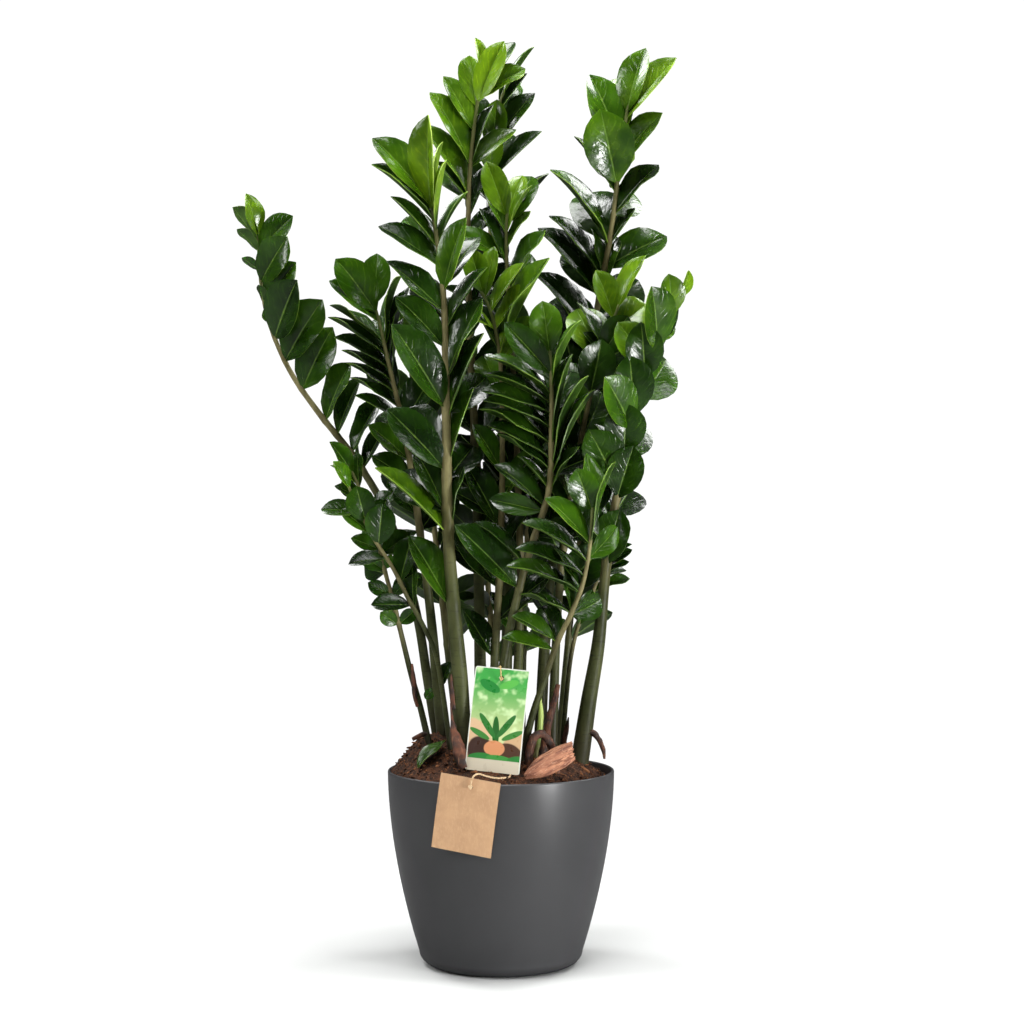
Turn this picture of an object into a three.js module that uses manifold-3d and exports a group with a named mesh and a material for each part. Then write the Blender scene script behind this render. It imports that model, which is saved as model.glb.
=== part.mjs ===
// A potted ZZ plant (Zamioculcas zamiifolia): a round tapered pot, a heaped bed of potting soil, the
// leafy fronds that stand in it, the dry sheaths and bark round their feet, and two paper cards.
// Millimetres, +Z up. The origin is the middle of the pot's flat underside.
import * as THREE from "three";
import { mergeVertices } from "three/addons/utils/BufferGeometryUtils.js";
import Module from "manifold-3d";

const wasm = await Module();
wasm.setup();

// ---- driving dimensions -------------------------------------------------------------------------

const GAP = 0.3; // clearance between two touching pieces

const POT = {
  height: 255,
  rim: 150, // outer radius at the rim
  taper: 47, // how much narrower the side's curve would be at the ground
  belly: 1.8, // exponent of that curve
  foot: 88, // radius of the flat underside
  heel: 17, // height at which the rounded foot runs into the side
  wall: 4,
  floor: 5,
  lip: 1.6, // rounding of the rim
  sides: 32,
  outerRings: [60, 110, 170], // heights at which the outside and the inside have a ring of vertices
  innerRings: [170, 100, 40],
};

const SOIL = {
  wallLevel: 247, // where the soil meets the pot
  crown: 36, // how much higher its middle is
  steep: 3.5, // exponent of its fall towards the pot
  tilt: 8, // it lies higher on the left
  heap: { x: -102, y: -10, rise: 20, spread: 36 },
  lump: 2,
  rings: [114, 72], // radii at which the surface has a ring of vertices
};

const ROOT_DEPTH = 38; // how deep a frond's foot stands in the soil
const STEM_SIDES = 6;
const RING_SPACING = 72; // along a stem
const SPAN_STEPS = 12; // samples of a stem between two of its points

const LEAF = {
  fold: 0.2, // how steeply the two halves rise from the midrib
  bow: -0.09, // how far the tip bends back, as a share of the length
  thickness: 1.8, // at the midrib
  blunt: 0.78, // exponents of the outline, at the base and at the tip
  point: 0.68,
  stations: [0.2, 0.5, 0.8], // where the blade's outline has its points
  seat: 0.68, // how far from the stem's axis its root lies, as a share of the stem's radius
  neck: 0.2, // the share of its length over which it may touch its own stem
  joined: 0.42, // the share of their length over which leaves of one frond may touch each other
  clear: 2.1, // distance that blades keep from each other and from stems
};

// Every frond: the points its stem runs through; its radius at the soil, at the first leaf and at the
// tip; the share of its length where the leaves start; the longest leaf's length, and the leaves' width
// as a share of their length; how many leaves grow by rule (fill), from which share of its length to
// which; the compass direction that its upper face looks to, at its foot and at its tip (0 is the
// front, 90 the right); how far its two ranks of leaves open; their angle to the stem, lowest and
// highest; and how far the left and the right leaves turn their upper side to where the frond looks.
// Then the leaves that are placed as they are seen from the front: where each starts and ends in the
// picture, how broad it shows (less than nothing where its underside does), and its tilt towards the
// eye. All angles are in degrees.
const FRONDS = [
  {
    name: "frond_front",
    stem: [[-48, -85, 281], [-52, -88, 381], [-61, -88, 483], [-68, -85, 586], [-70, -78, 714],
      [-73, -68, 862], [-83, -60, 950], [-97, -52, 1034]],
    radius: [12, 7.5, 1.8], first: 0.36, length: 102, width: 0.47, fill: [0, 0, 0],
    face: [8, -12], spread: 92, angle: [38, 22], roll: [46, 50],
    seen: [[430, 207, 380, 139, 28, 10], [431, 209, 422, 124, 25, 15], [430, 208, 433, 138, 8, -8],
      [436, 232, 440, 162, 6, 5], [430, 220, 378, 160, 9, 10], [434, 247, 393, 194, 12, 5],
      [436, 268, 381, 222, 19, 5], [441, 310, 389, 258, 24, 5], [443, 350, 400, 299, 26, 8],
      [444, 405, 399, 325, 36, 10], [443, 468, 390, 408, 34, 10], [441, 533, 378, 465, 14, 5],
      [449, 603, 413, 533, 27, 12], [446, 512, 421, 452, 24, -10], [440, 243, 463, 190, 12, 0],
      [443, 290, 459, 221, 27, 15], [446, 325, 481, 262, 14, 0], [450, 372, 478, 294, 22, 8],
      [450, 420, 478, 336, 17, 5], [451, 458, 469, 384, 17, 5], [450, 520, 457, 462, 13, -5]],
  },
  {
    name: "frond_centre_right",
    stem: [[-5, -70, 286], [-1, -73, 366], [9, -76, 431], [25, -80, 502], [44, -82, 566],
      [62, -82, 624], [65, -80, 701], [65, -76, 773], [62, -70, 820]],
    radius: [6.5, 5, 2], first: 0.4, length: 98, width: 0.42, fill: [0, 0, 0],
    face: [12, 12], spread: 92, angle: [52, 28], roll: [26, 48],
    seen: [[549, 352, 542, 303, 33, 8], [549, 374, 505, 325, 28, 12], [552, 376, 558, 335, 12, -10],
      [553, 387, 572, 322, 6, 0], [549, 393, 492, 349, 6, 5], [548, 402, 486, 368, 8, 5],
      [548, 414, 483, 384, 13, 5], [548, 428, 486, 393, 9, 5], [549, 443, 483, 404, 14, 5],
      [549, 458, 492, 418, 11, 5], [549, 471, 500, 432, 11, 5], [549, 486, 522, 452, 6, 0],
      [553, 445, 565, 355, 10, 0], [555, 462, 579, 371, 10, 0], [553, 475, 586, 385, 17, -8],
      [551, 490, 575, 446, 5, 0], [545, 512, 494, 500, 22, 8], [521, 586, 463, 522, 30, 10]],
  },
  {
    name: "frond_low_right",
    stem: [[30, -80, 292], [42, -84, 339], [57, -88, 383], [72, -92, 428], [91, -97, 468],
      [106, -100, 509], [114, -102, 554], [117, -102, 602]],
    radius: [5, 4, 1.8], first: 0.35, length: 68, width: 0.5, fill: [0, 0, 0],
    face: [0, 10], spread: 90, angle: [46, 26], roll: [26, 66],
    seen: [[592, 510, 577, 471, 31, 15], [594, 505, 593, 448, 23, -5], [595, 545, 611, 460, 14, -5],
      [590, 542, 552, 493, 15, 8], [588, 560, 530, 514, 8, 0], [584, 575, 521, 540, 9, 0],
      [579, 592, 512, 557, 6, 0], [571, 613, 524, 590, 6, 0], [571, 611, 567, 562, 16, -8],
      [560, 642, 520, 612, 11, 5], [553, 650, 504, 634, 11, 8]],
  },
  {
    name: "frond_right",
    stem: [[106, -10, 279], [116, -16, 348], [128, -22, 421], [135, -28, 494], [144, -32, 572],
      [159, -36, 651], [175, -40, 723], [197, -42, 788], [223, -44, 853], [234, -44, 876]],
    radius: [12, 6.5, 1.8], first: 0.4, length: 94, width: 0.68, fill: [0, 0, 0],
    face: [58, 60], spread: 66, angle: [36, 20], roll: [84, 42],
    seen: [[683, 300, 695, 274, 9, 5], [684, 322, 684, 283, 25, 15], [671, 356, 667, 300, 34, 20],
      [656, 383, 652, 330, 38, 20], [643, 420, 641, 362, 40, 20], [630, 456, 630, 408, 42, 20],
      [619, 500, 633, 450, 37, 20], [606, 563, 615, 510, 34, 15], [657, 340, 670, 277, 18, -12],
      [645, 352, 646, 306, 17, -12], [630, 402, 624, 348, 18, -12], [624, 430, 610, 390, 17, -12],
      [612, 458, 589, 417, 17, -10]],
  },
  {
    name: "frond_far_left",
    stem: [[-85, 32, 289], [-99, 36, 370], [-112, 38, 450], [-134, 40, 538], [-159, 42, 605],
      [-201, 42, 673], [-247, 40, 731], [-285, 38, 787], [-311, 34, 848], [-323, 30, 908],
      [-326, 26, 970]],
    radius: [7, 5, 1.8], first: 0.5, length: 92, width: 0.6, fill: [0, 0, 0],
    face: [60, 62], spread: 66, angle: [36, 18], roll: [84, 36],
    seen: [[263, 232, 256, 193, 17, 20], [258, 241, 236, 203, -13, 10],
      [256, 252, 238, 230, -10, 15], [252, 270, 237, 257, -10, 20], [258, 305, 254, 286, -7, 20],
      [263, 325, 259, 310, -5, 20], [258, 252, 291, 220, 28, 25], [257, 283, 283, 244, 33, 28],
      [263, 308, 292, 266, 31, 28], [271, 338, 296, 283, 40, 28], [286, 361, 321, 304, 40, 25],
      [300, 392, 328, 334, 40, 28], [322, 422, 343, 366, 22, 20], [333, 440, 352, 385, 20, 15],
      [347, 457, 370, 405, 18, 10], [362, 468, 353, 444, 7, 0], [360, 468, 380, 425, 16, 10]],
  },
  {
    name: "frond_left",
    stem: [[-77, 0, 293], [-85, 0, 373], [-94, 0, 466], [-106, -2, 559], [-119, -5, 652],
      [-131, -7, 718], [-145, -9, 777], [-160, -10, 843], [-168, -10, 872]],
    radius: [8, 5.5, 1.8], first: 0.38, length: 96, width: 0.58, fill: [0, 0, 0],
    face: [-5, -25], spread: 92, angle: [38, 20], roll: [28, 52],
    seen: [[374, 322, 332, 279, 20, 15], [377, 312, 343, 261, 33, 12], [380, 303, 382, 253, 30, 5],
      [383, 342, 389, 272, 12, -15], [381, 345, 332, 303, 8, 0], [384, 358, 331, 315, 13, 5],
      [387, 370, 338, 332, 11, 5], [389, 382, 343, 347, 11, 5], [391, 394, 347, 361, 11, 5],
      [396, 408, 352, 375, 11, 5], [400, 422, 357, 392, 11, 5], [387, 360, 399, 283, 14, -12],
      [391, 375, 396, 318, 10, -15], [408, 460, 372, 425, 20, 10], [412, 485, 376, 455, 20, 8],
      [415, 515, 390, 478, 24, 8], [419, 530, 385, 548, 16, 10], [437, 690, 444, 664, 12, 5],
      [438, 690, 429, 700, 10, 10]],
  },
  {
    name: "frond_tall_right",
    stem: [[52, 30, 287], [59, 36, 424], [69, 42, 531], [88, 47, 653], [111, 50, 775],
      [132, 52, 883], [149, 50, 978], [158, 47, 1052], [172, 42, 1150]],
    radius: [8.5, 6, 2], first: 0.45, length: 112, width: 0.64, fill: [6, 0.36, 0.58],
    face: [12, -22], spread: 88, angle: [34, 18], roll: [48, 56],
    seen: [[631, 110, 643, 48, 30, 8], [635, 116, 678, 57, 25, 12], [621, 150, 594, 76, 43, 14],
      [615, 183, 599, 120, 50, 20], [608, 190, 573, 129, 24, 0], [620, 185, 649, 120, 20, -10],
      [616, 214, 656, 160, 21, -6], [613, 243, 635, 204, 14, -8], [606, 238, 584, 205, 14, -8],
      [604, 240, 557, 162, 13, 5], [599, 275, 556, 207, 17, 0], [594, 294, 544, 219, 24, 0],
      [588, 335, 542, 267, 22, 0], [608, 284, 618, 231, 26, -12], [602, 270, 595, 226, 14, -12]],
  },
  {
    name: "frond_tall_centre",
    stem: [[-26, -15, 288], [-28, -8, 427], [-31, 0, 585], [-37, 6, 745], [-43, 10, 892],
      [-43, 14, 1026], [-36, 16, 1110], [-25, 16, 1184]],
    radius: [9, 6, 1.8], first: 0.4, length: 98, width: 0.46, fill: [8, 0.26, 0.6],
    face: [0, -20], spread: 88, angle: [34, 18], roll: [44, 40],
    seen: [[484, 62, 482, 27, 9, 10], [480, 104, 503, 47, 28, 15], [484, 98, 516, 33, 26, -18],
      [477, 105, 470, 51, 28, 0], [474, 130, 448, 76, 21, 5], [471, 166, 440, 94, 22, 8],
      [469, 194, 430, 122, 18, 5], [468, 202, 441, 160, 9, 3], [473, 162, 490, 100, 15, -5],
      [472, 215, 489, 160, 16, -8], [471, 262, 488, 205, 17, -8]],
  },
  {
    name: "frond_tall_back",
    stem: [[5, 28, 287], [8, 38, 450], [6, 48, 612], [-3, 56, 775], [-13, 60, 938], [-14, 60, 1061],
      [-4, 58, 1140], [4, 56, 1168]],
    radius: [8.5, 6, 1.8], first: 0.4, length: 94, width: 0.44, fill: [9, 0.26, 0.7],
    face: [20, 30], spread: 88, angle: [34, 18], roll: [32, 40],
    seen: [[500, 93, 526, 43, 5, 0], [498, 110, 523, 70, 13, -5], [494, 146, 531, 91, 25, 0],
      [491, 178, 537, 126, 18, 0], [490, 152, 495, 98, 25, 8], [490, 174, 491, 134, 24, 10],
      [492, 247, 541, 167, 12, -5]],
  },
  {
    name: "frond_low_left",
    stem: [[-96, -32, 300], [-106, -36, 343], [-117, -40, 383], [-128, -44, 429], [-139, -47, 475],
      [-151, -50, 520], [-162, -53, 566], [-180, -57, 618], [-202, -60, 668]],
    radius: [4.5, 3.5, 1.6], first: 0.34, length: 52, width: 0.6, fill: [0, 0, 0],
    face: [-12, -20], spread: 92, angle: [70, 30], roll: [78, 50],
    seen: [[400, 623, 384, 611, 16, 15], [401, 623, 416, 609, 15, 15], [390, 596, 369, 583, 15, 15],
      [391, 596, 403, 585, 12, 15], [382, 571, 361, 557, 16, 15], [382, 570, 388, 556, 10, 15],
      [375, 550, 349, 538, 15, 15], [345, 477, 326, 444, 14, 10], [350, 490, 346, 456, 15, 8],
      [347, 488, 323, 467, 5, 5], [353, 507, 326, 486, 9, 12]],
  },
  {
    name: "frond_left_front",
    stem: [[-66, -50, 289], [-74, -54, 352], [-84, -58, 410], [-99, -62, 446], [-120, -66, 485],
      [-140, -70, 525], [-166, -74, 566], [-188, -78, 611], [-204, -80, 650]],
    radius: [3.6, 3, 1.6], first: 0.5, length: 60, width: 0.58, fill: [0, 0, 0],
    face: [0, 10], spread: 88, angle: [50, 28], roll: [40, 60],
    seen: [[362, 524, 353, 489, 29, 12], [374, 548, 378, 508, 31, 15], [367, 532, 341, 509, 16, 15],
      [348, 490, 336, 462, 5, 5], [402, 579, 411, 534, 23, 5], [420, 602, 416, 561, 16, 5]],
  },
  {
    name: "frond_mid_right",
    stem: [[68, -8, 292], [73, -10, 427], [81, -13, 533], [96, -17, 638], [115, -20, 737],
      [134, -22, 809], [155, -24, 868]],
    radius: [7, 5, 1.8], first: 0.36, length: 92, width: 0.64, fill: [6, 0.26, 0.62],
    face: [8, 8], spread: 88, angle: [38, 20], roll: [50, 60],
    seen: [[619, 302, 640, 249, 19, 8], [614, 316, 599, 269, 26, 10], [603, 352, 627, 317, 31, 15],
      [590, 391, 600, 341, 38, 18], [592, 345, 571, 297, 15, -5], [598, 352, 583, 330, 10, -5]],
  },
  {
    name: "frond_centre",
    stem: [[17, -5, 287], [24, -5, 426], [25, -8, 559], [20, -10, 704], [13, -10, 837],
      [7, -8, 943], [9, -5, 1015]],
    radius: [7.5, 5.5, 1.8], first: 0.26, length: 92, width: 0.46, fill: [9, 0.2, 0.7],
    face: [0, 5], spread: 88, angle: [38, 20], roll: [52, 54],
    seen: [[508, 213, 489, 162, 26, 12], [507, 232, 491, 190, 13, 8], [510, 215, 524, 170, 22, 0],
      [509, 232, 528, 184, 9, 0], [512, 246, 532, 208, 9, 0], [506, 262, 484, 204, 15, 0],
      [510, 290, 540, 227, 14, 0]],
  },
  {
    name: "frond_mid_front",
    stem: [[-15, -38, 285], [-8, -38, 402], [-1, -38, 533], [2, -37, 664], [0, -36, 782],
      [-8, -35, 838], [-17, -34, 868], [-30, -32, 892]],
    radius: [6.5, 5, 1.8], first: 0.27, length: 90, width: 0.46, fill: [8, 0.2, 0.66],
    face: [0, 0], spread: 90, angle: [38, 20], roll: [56, 52],
    seen: [[480, 293, 468, 250, 25, 5], [484, 297, 491, 246, 20, 8], [490, 312, 518, 262, 14, 5],
      [495, 328, 523, 282, 13, 5], [499, 352, 538, 255, 9, 0], [497, 350, 481, 300, 14, -8],
      [500, 354, 504, 325, 7, 0]],
  },
  {
    name: "frond_thin_right",
    stem: [[82, 20, 284], [87, 22, 344], [94, 25, 404], [106, 27, 451], [127, 30, 498],
      [146, 32, 552], [162, 32, 605]],
    radius: [3.4, 3, 1.6], first: 0.32, length: 58, width: 0.42, fill: [0, 0, 0],
    face: [0, 0], spread: 90, angle: [50, 30], roll: [14, 16],
    seen: [[606, 569, 634, 550, 11, 0], [608, 582, 636, 564, 6, 0], [604, 594, 638, 580, 9, 0],
      [620, 516, 637, 500, 4, 0], [580, 625, 593, 590, 16, 5], [606, 556, 630, 541, 8, 0]],
  },
  {
    name: "frond_back_right",
    stem: [[26, 70, 285], [30, 88, 420], [34, 100, 530], [40, 108, 640], [40, 112, 737],
      [31, 112, 834]],
    radius: [7, 5, 1.8], first: 0.25, length: 86, width: 0.5, fill: [10, 0.22, 0.985],
    face: [165, 165], spread: 86, angle: [46, 26], roll: [48, 48],
    seen: [],
  },
  {
    name: "frond_back_left",
    stem: [[-56, 62, 283], [-73, 80, 407], [-87, 92, 530], [-101, 100, 640], [-119, 102, 751],
      [-133, 100, 833]],
    radius: [7, 5, 1.8], first: 0.26, length: 84, width: 0.5, fill: [10, 0.24, 0.985],
    face: [195, 195], spread: 86, angle: [46, 26], roll: [48, 48],
    seen: [],
  },
  {
    name: "frond_back_centre",
    stem: [[-2, 62, 279], [-10, 76, 394], [-20, 86, 516], [-28, 90, 626], [-36, 92, 723],
      [-43, 90, 791]],
    radius: [6, 4.5, 1.8], first: 0.24, length: 80, width: 0.5, fill: [9, 0.22, 0.985],
    face: [180, 180], spread: 86, angle: [46, 26], roll: [48, 48],
    seen: [],
  },
  {
    name: "frond_back_far",
    stem: [[80, 75, 282], [92, 88, 420], [106, 98, 544], [122, 104, 654], [136, 106, 751],
      [144, 104, 820]],
    radius: [6, 4.5, 1.8], first: 0.28, length: 80, width: 0.5, fill: [9, 0.26, 0.985],
    face: [155, 155], spread: 86, angle: [46, 26], roll: [48, 48],
    seen: [],
  },
];

// The dry sheaths and stubs that grow on the feet of some fronds: the points that each runs through
// and its radius at every point.
const SHEATHS = [
  {
    frond: "frond_front",
    line: [[-44, -90, 308], [-42, -99, 296], [-41, -105, 283]],
    radius: [2, 5.5, 3.5],
  },
  {
    frond: "frond_front",
    line: [[-63, -93, 388], [-62, -93, 366], [-60, -91, 344]],
    radius: [0.8, 3.2, 4],
  },
  {
    frond: "frond_right",
    line: [[105, -14, 302], [118, -17, 306], [129, -20, 297], [135, -24, 282], [136, -28, 272]],
    radius: [3.5, 4, 3.6, 3, 1.4],
  },
  {
    frond: "frond_low_left",
    line: [[-98, -34, 306], [-106, -38, 303], [-115, -42, 299]],
    radius: [3.6, 3.2, 2.6],
  },
  {
    frond: "frond_low_left",
    line: [[-116, -44, 398], [-114, -45, 378], [-112, -45, 356], [-109, -43, 342]],
    radius: [1.4, 3, 3.2, 2],
  },
  {
    frond: "frond_thin_right",
    line: [[83, 19, 288], [87, 17, 302], [90, 14, 322]],
    radius: [4, 3.4, 0.8],
  },
];

// Pieces that stand in the soil beside the fronds: a new shoot and a dead petiole's stub.
const SPIKES = [
  {
    name: "young_shoot",
    line: [[45, -58, 284], [50, -60, 310], [52, -60, 336], [51, -60, 362]],
    radius: [4, 4, 3.6, 0.8],
  },
  {
    name: "dry_stub",
    line: [[56, -46, 286], [62, -40, 318], [70, -33, 348], [75, -30, 370]],
    radius: [5, 5, 4.6, 3],
  },
];

// The arched husk: a loose dry sheath that lies over the soil on its two ends.
const HUSK = {
  line: [[36, -97, 256], [37, -95, 290], [45, -90, 309], [57, -86, 308], [67, -84, 290],
    [73, -86, 256]],
  radius: [4, 5, 5.5, 5, 4.5, 4],
};

const BARK = { length: 68, width: 30, thick: 11, x: 62, y: -112, turn: 14, tilt: 46, roll: 26 };

const FALLEN_LEAF = { base: [-78, -58], tip: [-106, -82], slope: -24, width: 0.46 };
const DROP = 350; // height from which the loose pieces are lowered onto the soil

const CARD = {
  width: 72, height: 132, thick: 1, corner: 4, x: -11, y: -121, turn: -16, lean: -8, roll: 4,
  hole: { below: 13, radius: 3.3 },
};

// The card's tie, from the hole in the card: round the stem behind it, over the card's upper edge
// and down to the knot in front.
const TIE = {
  line: [[0, -2.6, 0.4], [0, 0, 0], [0.8, 4, 0.2], [7, 18, 2], [11.5, 31, 4], [8.5, 41, 6],
    [0.5, 43.5, 8], [-6.5, 37, 10], [-6.5, 24, 12], [-3, 9, 15.6], [-1, 1.4, 17.6], [-0.6, -3.4, 13.4],
    [-0.2, -3.6, 4.6]],
  radius: 1, sides: 4, steps: 24, knot: 2.7,
};

const TAG = {
  width: 79, height: 95, thick: 0.9, turn: -16.7, roll: 7.8, middle: 216,
  hole: { across: 2, below: 11, radius: 2.4 },
};

const TWINE = {
  line: [[-37.6, -149.2, 252], [-36.2, -150.6, 259], [-33, -149, 266], [-27, -146, 268],
    [-18, -143, 265], [-6, -139, 262], [6, -133, 261.4], [12, -126, 262.4], [12, -116, 268],
    [8, -104, 275], [4, -91, 284]],
  loop: { height: 296, radius: 8.8, start: -60 },
  radius: 0.8, sides: 4, steps: 26, knot: 1.9,
};

// How far a leaf may stray from its place: its rank, its angle to the stem and its roll in degrees, and
// the share of its length.
const STRAY = { rank: 10, angle: 7, roll: 14, length: 0.08 };
const TIP_LEAF = { angle: 8, roll: 78 }; // the last leaf goes on along the stem and faces outwards

// How the leaves follow each other up a stem: the share of its length where the last one grows, how
// they crowd towards it, and how much shorter the first and the last leaf are than the longest.
const ROW = { last: 0.985, crowding: 0.9, shortest: 0.8, swell: 1.15 };

// What a leaf tries, in this order, when its own place is taken: degrees added to its angle to the
// stem, degrees that its rank turns round the stem, and the share of its length that it keeps.
const RETRIES = [
  [0, 0, 1], [0, 16, 1], [0, -16, 1], [-9, 8, 0.95], [10, -8, 0.95], [-12, -20, 0.92],
  [-12, 26, 0.92], [12, 30, 0.88], [12, -30, 0.88], [0, 42, 0.85], [0, -42, 0.85], [-18, 0, 0.8],
  [16, 52, 0.76], [16, -52, 0.76], [-22, 34, 0.72], [-22, -34, 0.72], [0, 0, 0.62],
];

// The same for a leaf that is placed as it is seen: degrees added to its tilt towards the eye, degrees
// that it turns about its midrib, and the share of its length that it keeps.
const SEEN_RETRIES = [
  [0, 0, 1], [8, 0, 1], [-8, 0, 1], [0, 14, 1], [0, -14, 1], [16, 0, 1], [-16, 0, 1], [12, 16, 1],
  [-12, 16, 1], [12, -16, 1], [-12, -16, 1], [26, 0, 0.97], [-26, 0, 0.97], [24, 22, 0.95],
  [-24, 22, 0.95], [36, 0, 0.95], [-36, 0, 0.95], [0, 32, 0.92], [0, -32, 0.92], [30, -25, 0.9],
  [-30, -25, 0.9], [0, 0, 0.8], [20, 0, 0.75], [-20, 0, 0.75], [0, 0, 0.6],
];

// The eye that the seen leaves are measured from: a camera that looks along Y, in mm, with its focal
// length and the middle of its picture in picture points.
const EYE = { x: 14.6, y: -2560, z: 596, focus: 1928, middle: 512 };
const SEEN_LEAF = { stretch: 1.25, steepest: 84 };

// ---- the plant's growth -------------------------------------------------------------------------

const radians = THREE.MathUtils.degToRad;
const mix = THREE.MathUtils.lerp;

// A repeatable draw between -1 and 1, from a 32-bit congruential generator.
let drawState = 20240;
function draw() {
  drawState = (drawState * 1664525 + 1013904223) % 4294967296;
  return drawState / 2147483648 - 1;
}

// The stem's line: a smooth curve through its points, as samples with their distance from the soil.
function traceStem(points) {
  const curve = new THREE.CatmullRomCurve3(
    points.map((p) => new THREE.Vector3(...p)), false, "catmullrom", 0.5,
  );
  const line = curve.getPoints((points.length - 1) * SPAN_STEPS);
  const along = [0];
  for (let i = 1; i < line.length; i++) {
    along.push(along[i - 1] + line[i].distanceTo(line[i - 1]));
  }
  return { line, along, total: along[along.length - 1] };
}

// The point and the direction of a stem at a share of its length.
function stemAt(stem, share) {
  const want = share * stem.total;
  let i = 1;
  while (i < stem.line.length - 1 && stem.along[i] < want) i++;
  const part = (want - stem.along[i - 1]) / (stem.along[i] - stem.along[i - 1]);
  const point = stem.line[i - 1].clone().lerp(stem.line[i], part);
  const heading = stem.line[i].clone().sub(stem.line[i - 1]).normalize();
  return { point, heading };
}

function stemRadius(frond, share) {
  const [foot, middle, tip] = frond.radius;
  if (share < frond.first) return mix(foot, middle, share / frond.first);
  return mix(middle, tip, (share - frond.first) / (1 - frond.first));
}

// Half the width of a blade at a share of its length.
function halfWidth(leaf, share) {
  if (share <= 0 || share >= 1) return 0;
  const outline = share ** LEAF.blunt * (1 - share) ** LEAF.point;
  const peak = LEAF.blunt / (LEAF.blunt + LEAF.point);
  const widest = peak ** LEAF.blunt * (1 - peak) ** LEAF.point;
  return (0.5 * leaf.width * outline) / widest;
}

// How far the blade's middle surface stands off its own plane.
function lift(leaf, u, v) {
  return LEAF.fold * Math.abs(v) + (LEAF.bow * u * u) / leaf.length;
}

function leafPoint(leaf, u, v, off = 0) {
  return leaf.base
    .clone()
    .addScaledVector(leaf.midrib, u)
    .addScaledVector(leaf.side, v)
    .addScaledVector(leaf.normal, lift(leaf, u, v) + off);
}

// The shares of a stem's length at which its solid has a ring of vertices.
function ringShares(total) {
  const shares = [0];
  const rings = Math.round((0.85 * total) / RING_SPACING);
  for (let i = 0; i <= rings; i++) shares.push(mix(0.15, 1, i / rings));
  return shares;
}

// The axis of that solid, which runs straight from ring to ring.
function ringAxis(frond, share) {
  const { rings } = frond;
  let i = 1;
  while (i < rings.length - 1 && rings[i] < share) i++;
  const part = (share - rings[i - 1]) / (rings[i] - rings[i - 1]);
  return stemAt(frond.path, rings[i - 1]).point.lerp(stemAt(frond.path, rings[i]).point, part);
}

// The leaf that grows at a share of a frond, on its left (-1) or right (1) side.
function growLeaf(frond, spot, side, wobble, retry) {
  const { point, heading } = stemAt(frond.path, spot.share);
  const turn = radians(mix(frond.face[0], frond.face[1], spot.share));
  const face = new THREE.Vector3(Math.sin(turn), -Math.cos(turn), 0);
  face.addScaledVector(heading, -face.dot(heading)).normalize();
  const outward = face
    .clone()
    .applyAxisAngle(heading, side * radians(frond.spread + STRAY.rank * wobble[0] + retry[1]));
  const angle = radians(spot.angle + STRAY.angle * wobble[1] + retry[0]);
  const midrib = heading
    .clone()
    .multiplyScalar(Math.cos(angle))
    .addScaledVector(outward, Math.sin(angle));
  const upper = heading
    .clone()
    .multiplyScalar(Math.sin(angle))
    .addScaledVector(outward, -Math.cos(angle));
  const flank = new THREE.Vector3().crossVectors(midrib, upper);
  const roll = radians(spot.roll + STRAY.roll * wobble[2]) * (flank.dot(face) < 0 ? -1 : 1);
  const normal = upper
    .clone()
    .multiplyScalar(Math.cos(roll))
    .addScaledVector(flank, Math.sin(roll));
  const length = spot.length * (1 + STRAY.length * wobble[3]) * retry[2];
  const seat = LEAF.seat * stemRadius(frond, spot.share);
  return {
    root: ringAxis(frond, spot.share).addScaledVector(outward, seat),
    base: point.addScaledVector(outward, seat),
    midrib,
    normal,
    side: new THREE.Vector3().crossVectors(normal, midrib),
    length,
    width: length * frond.width,
  };
}

// How many millimetres one picture point spans at a depth.
function spanAt(y) {
  return (y - EYE.y) / EYE.focus;
}

// The share of a frond where it passes nearest to a point of the picture.
function nearestShare(frond, pictureX, pictureY) {
  const { line, along, total } = frond.path;
  let least = Infinity;
  let share = 0;
  for (let i = 1; i < line.length; i++) {
    const mark = line[i - 1].clone().lerp(line[i], 0.5);
    const x = EYE.middle + (mark.x - EYE.x) / spanAt(mark.y) - pictureX;
    const y = EYE.middle - (mark.z - EYE.z) / spanAt(mark.y) - pictureY;
    if (x * x + y * y >= least) continue;
    least = x * x + y * y;
    share = (along[i - 1] + along[i]) / 2 / total;
  }
  return share;
}

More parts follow.
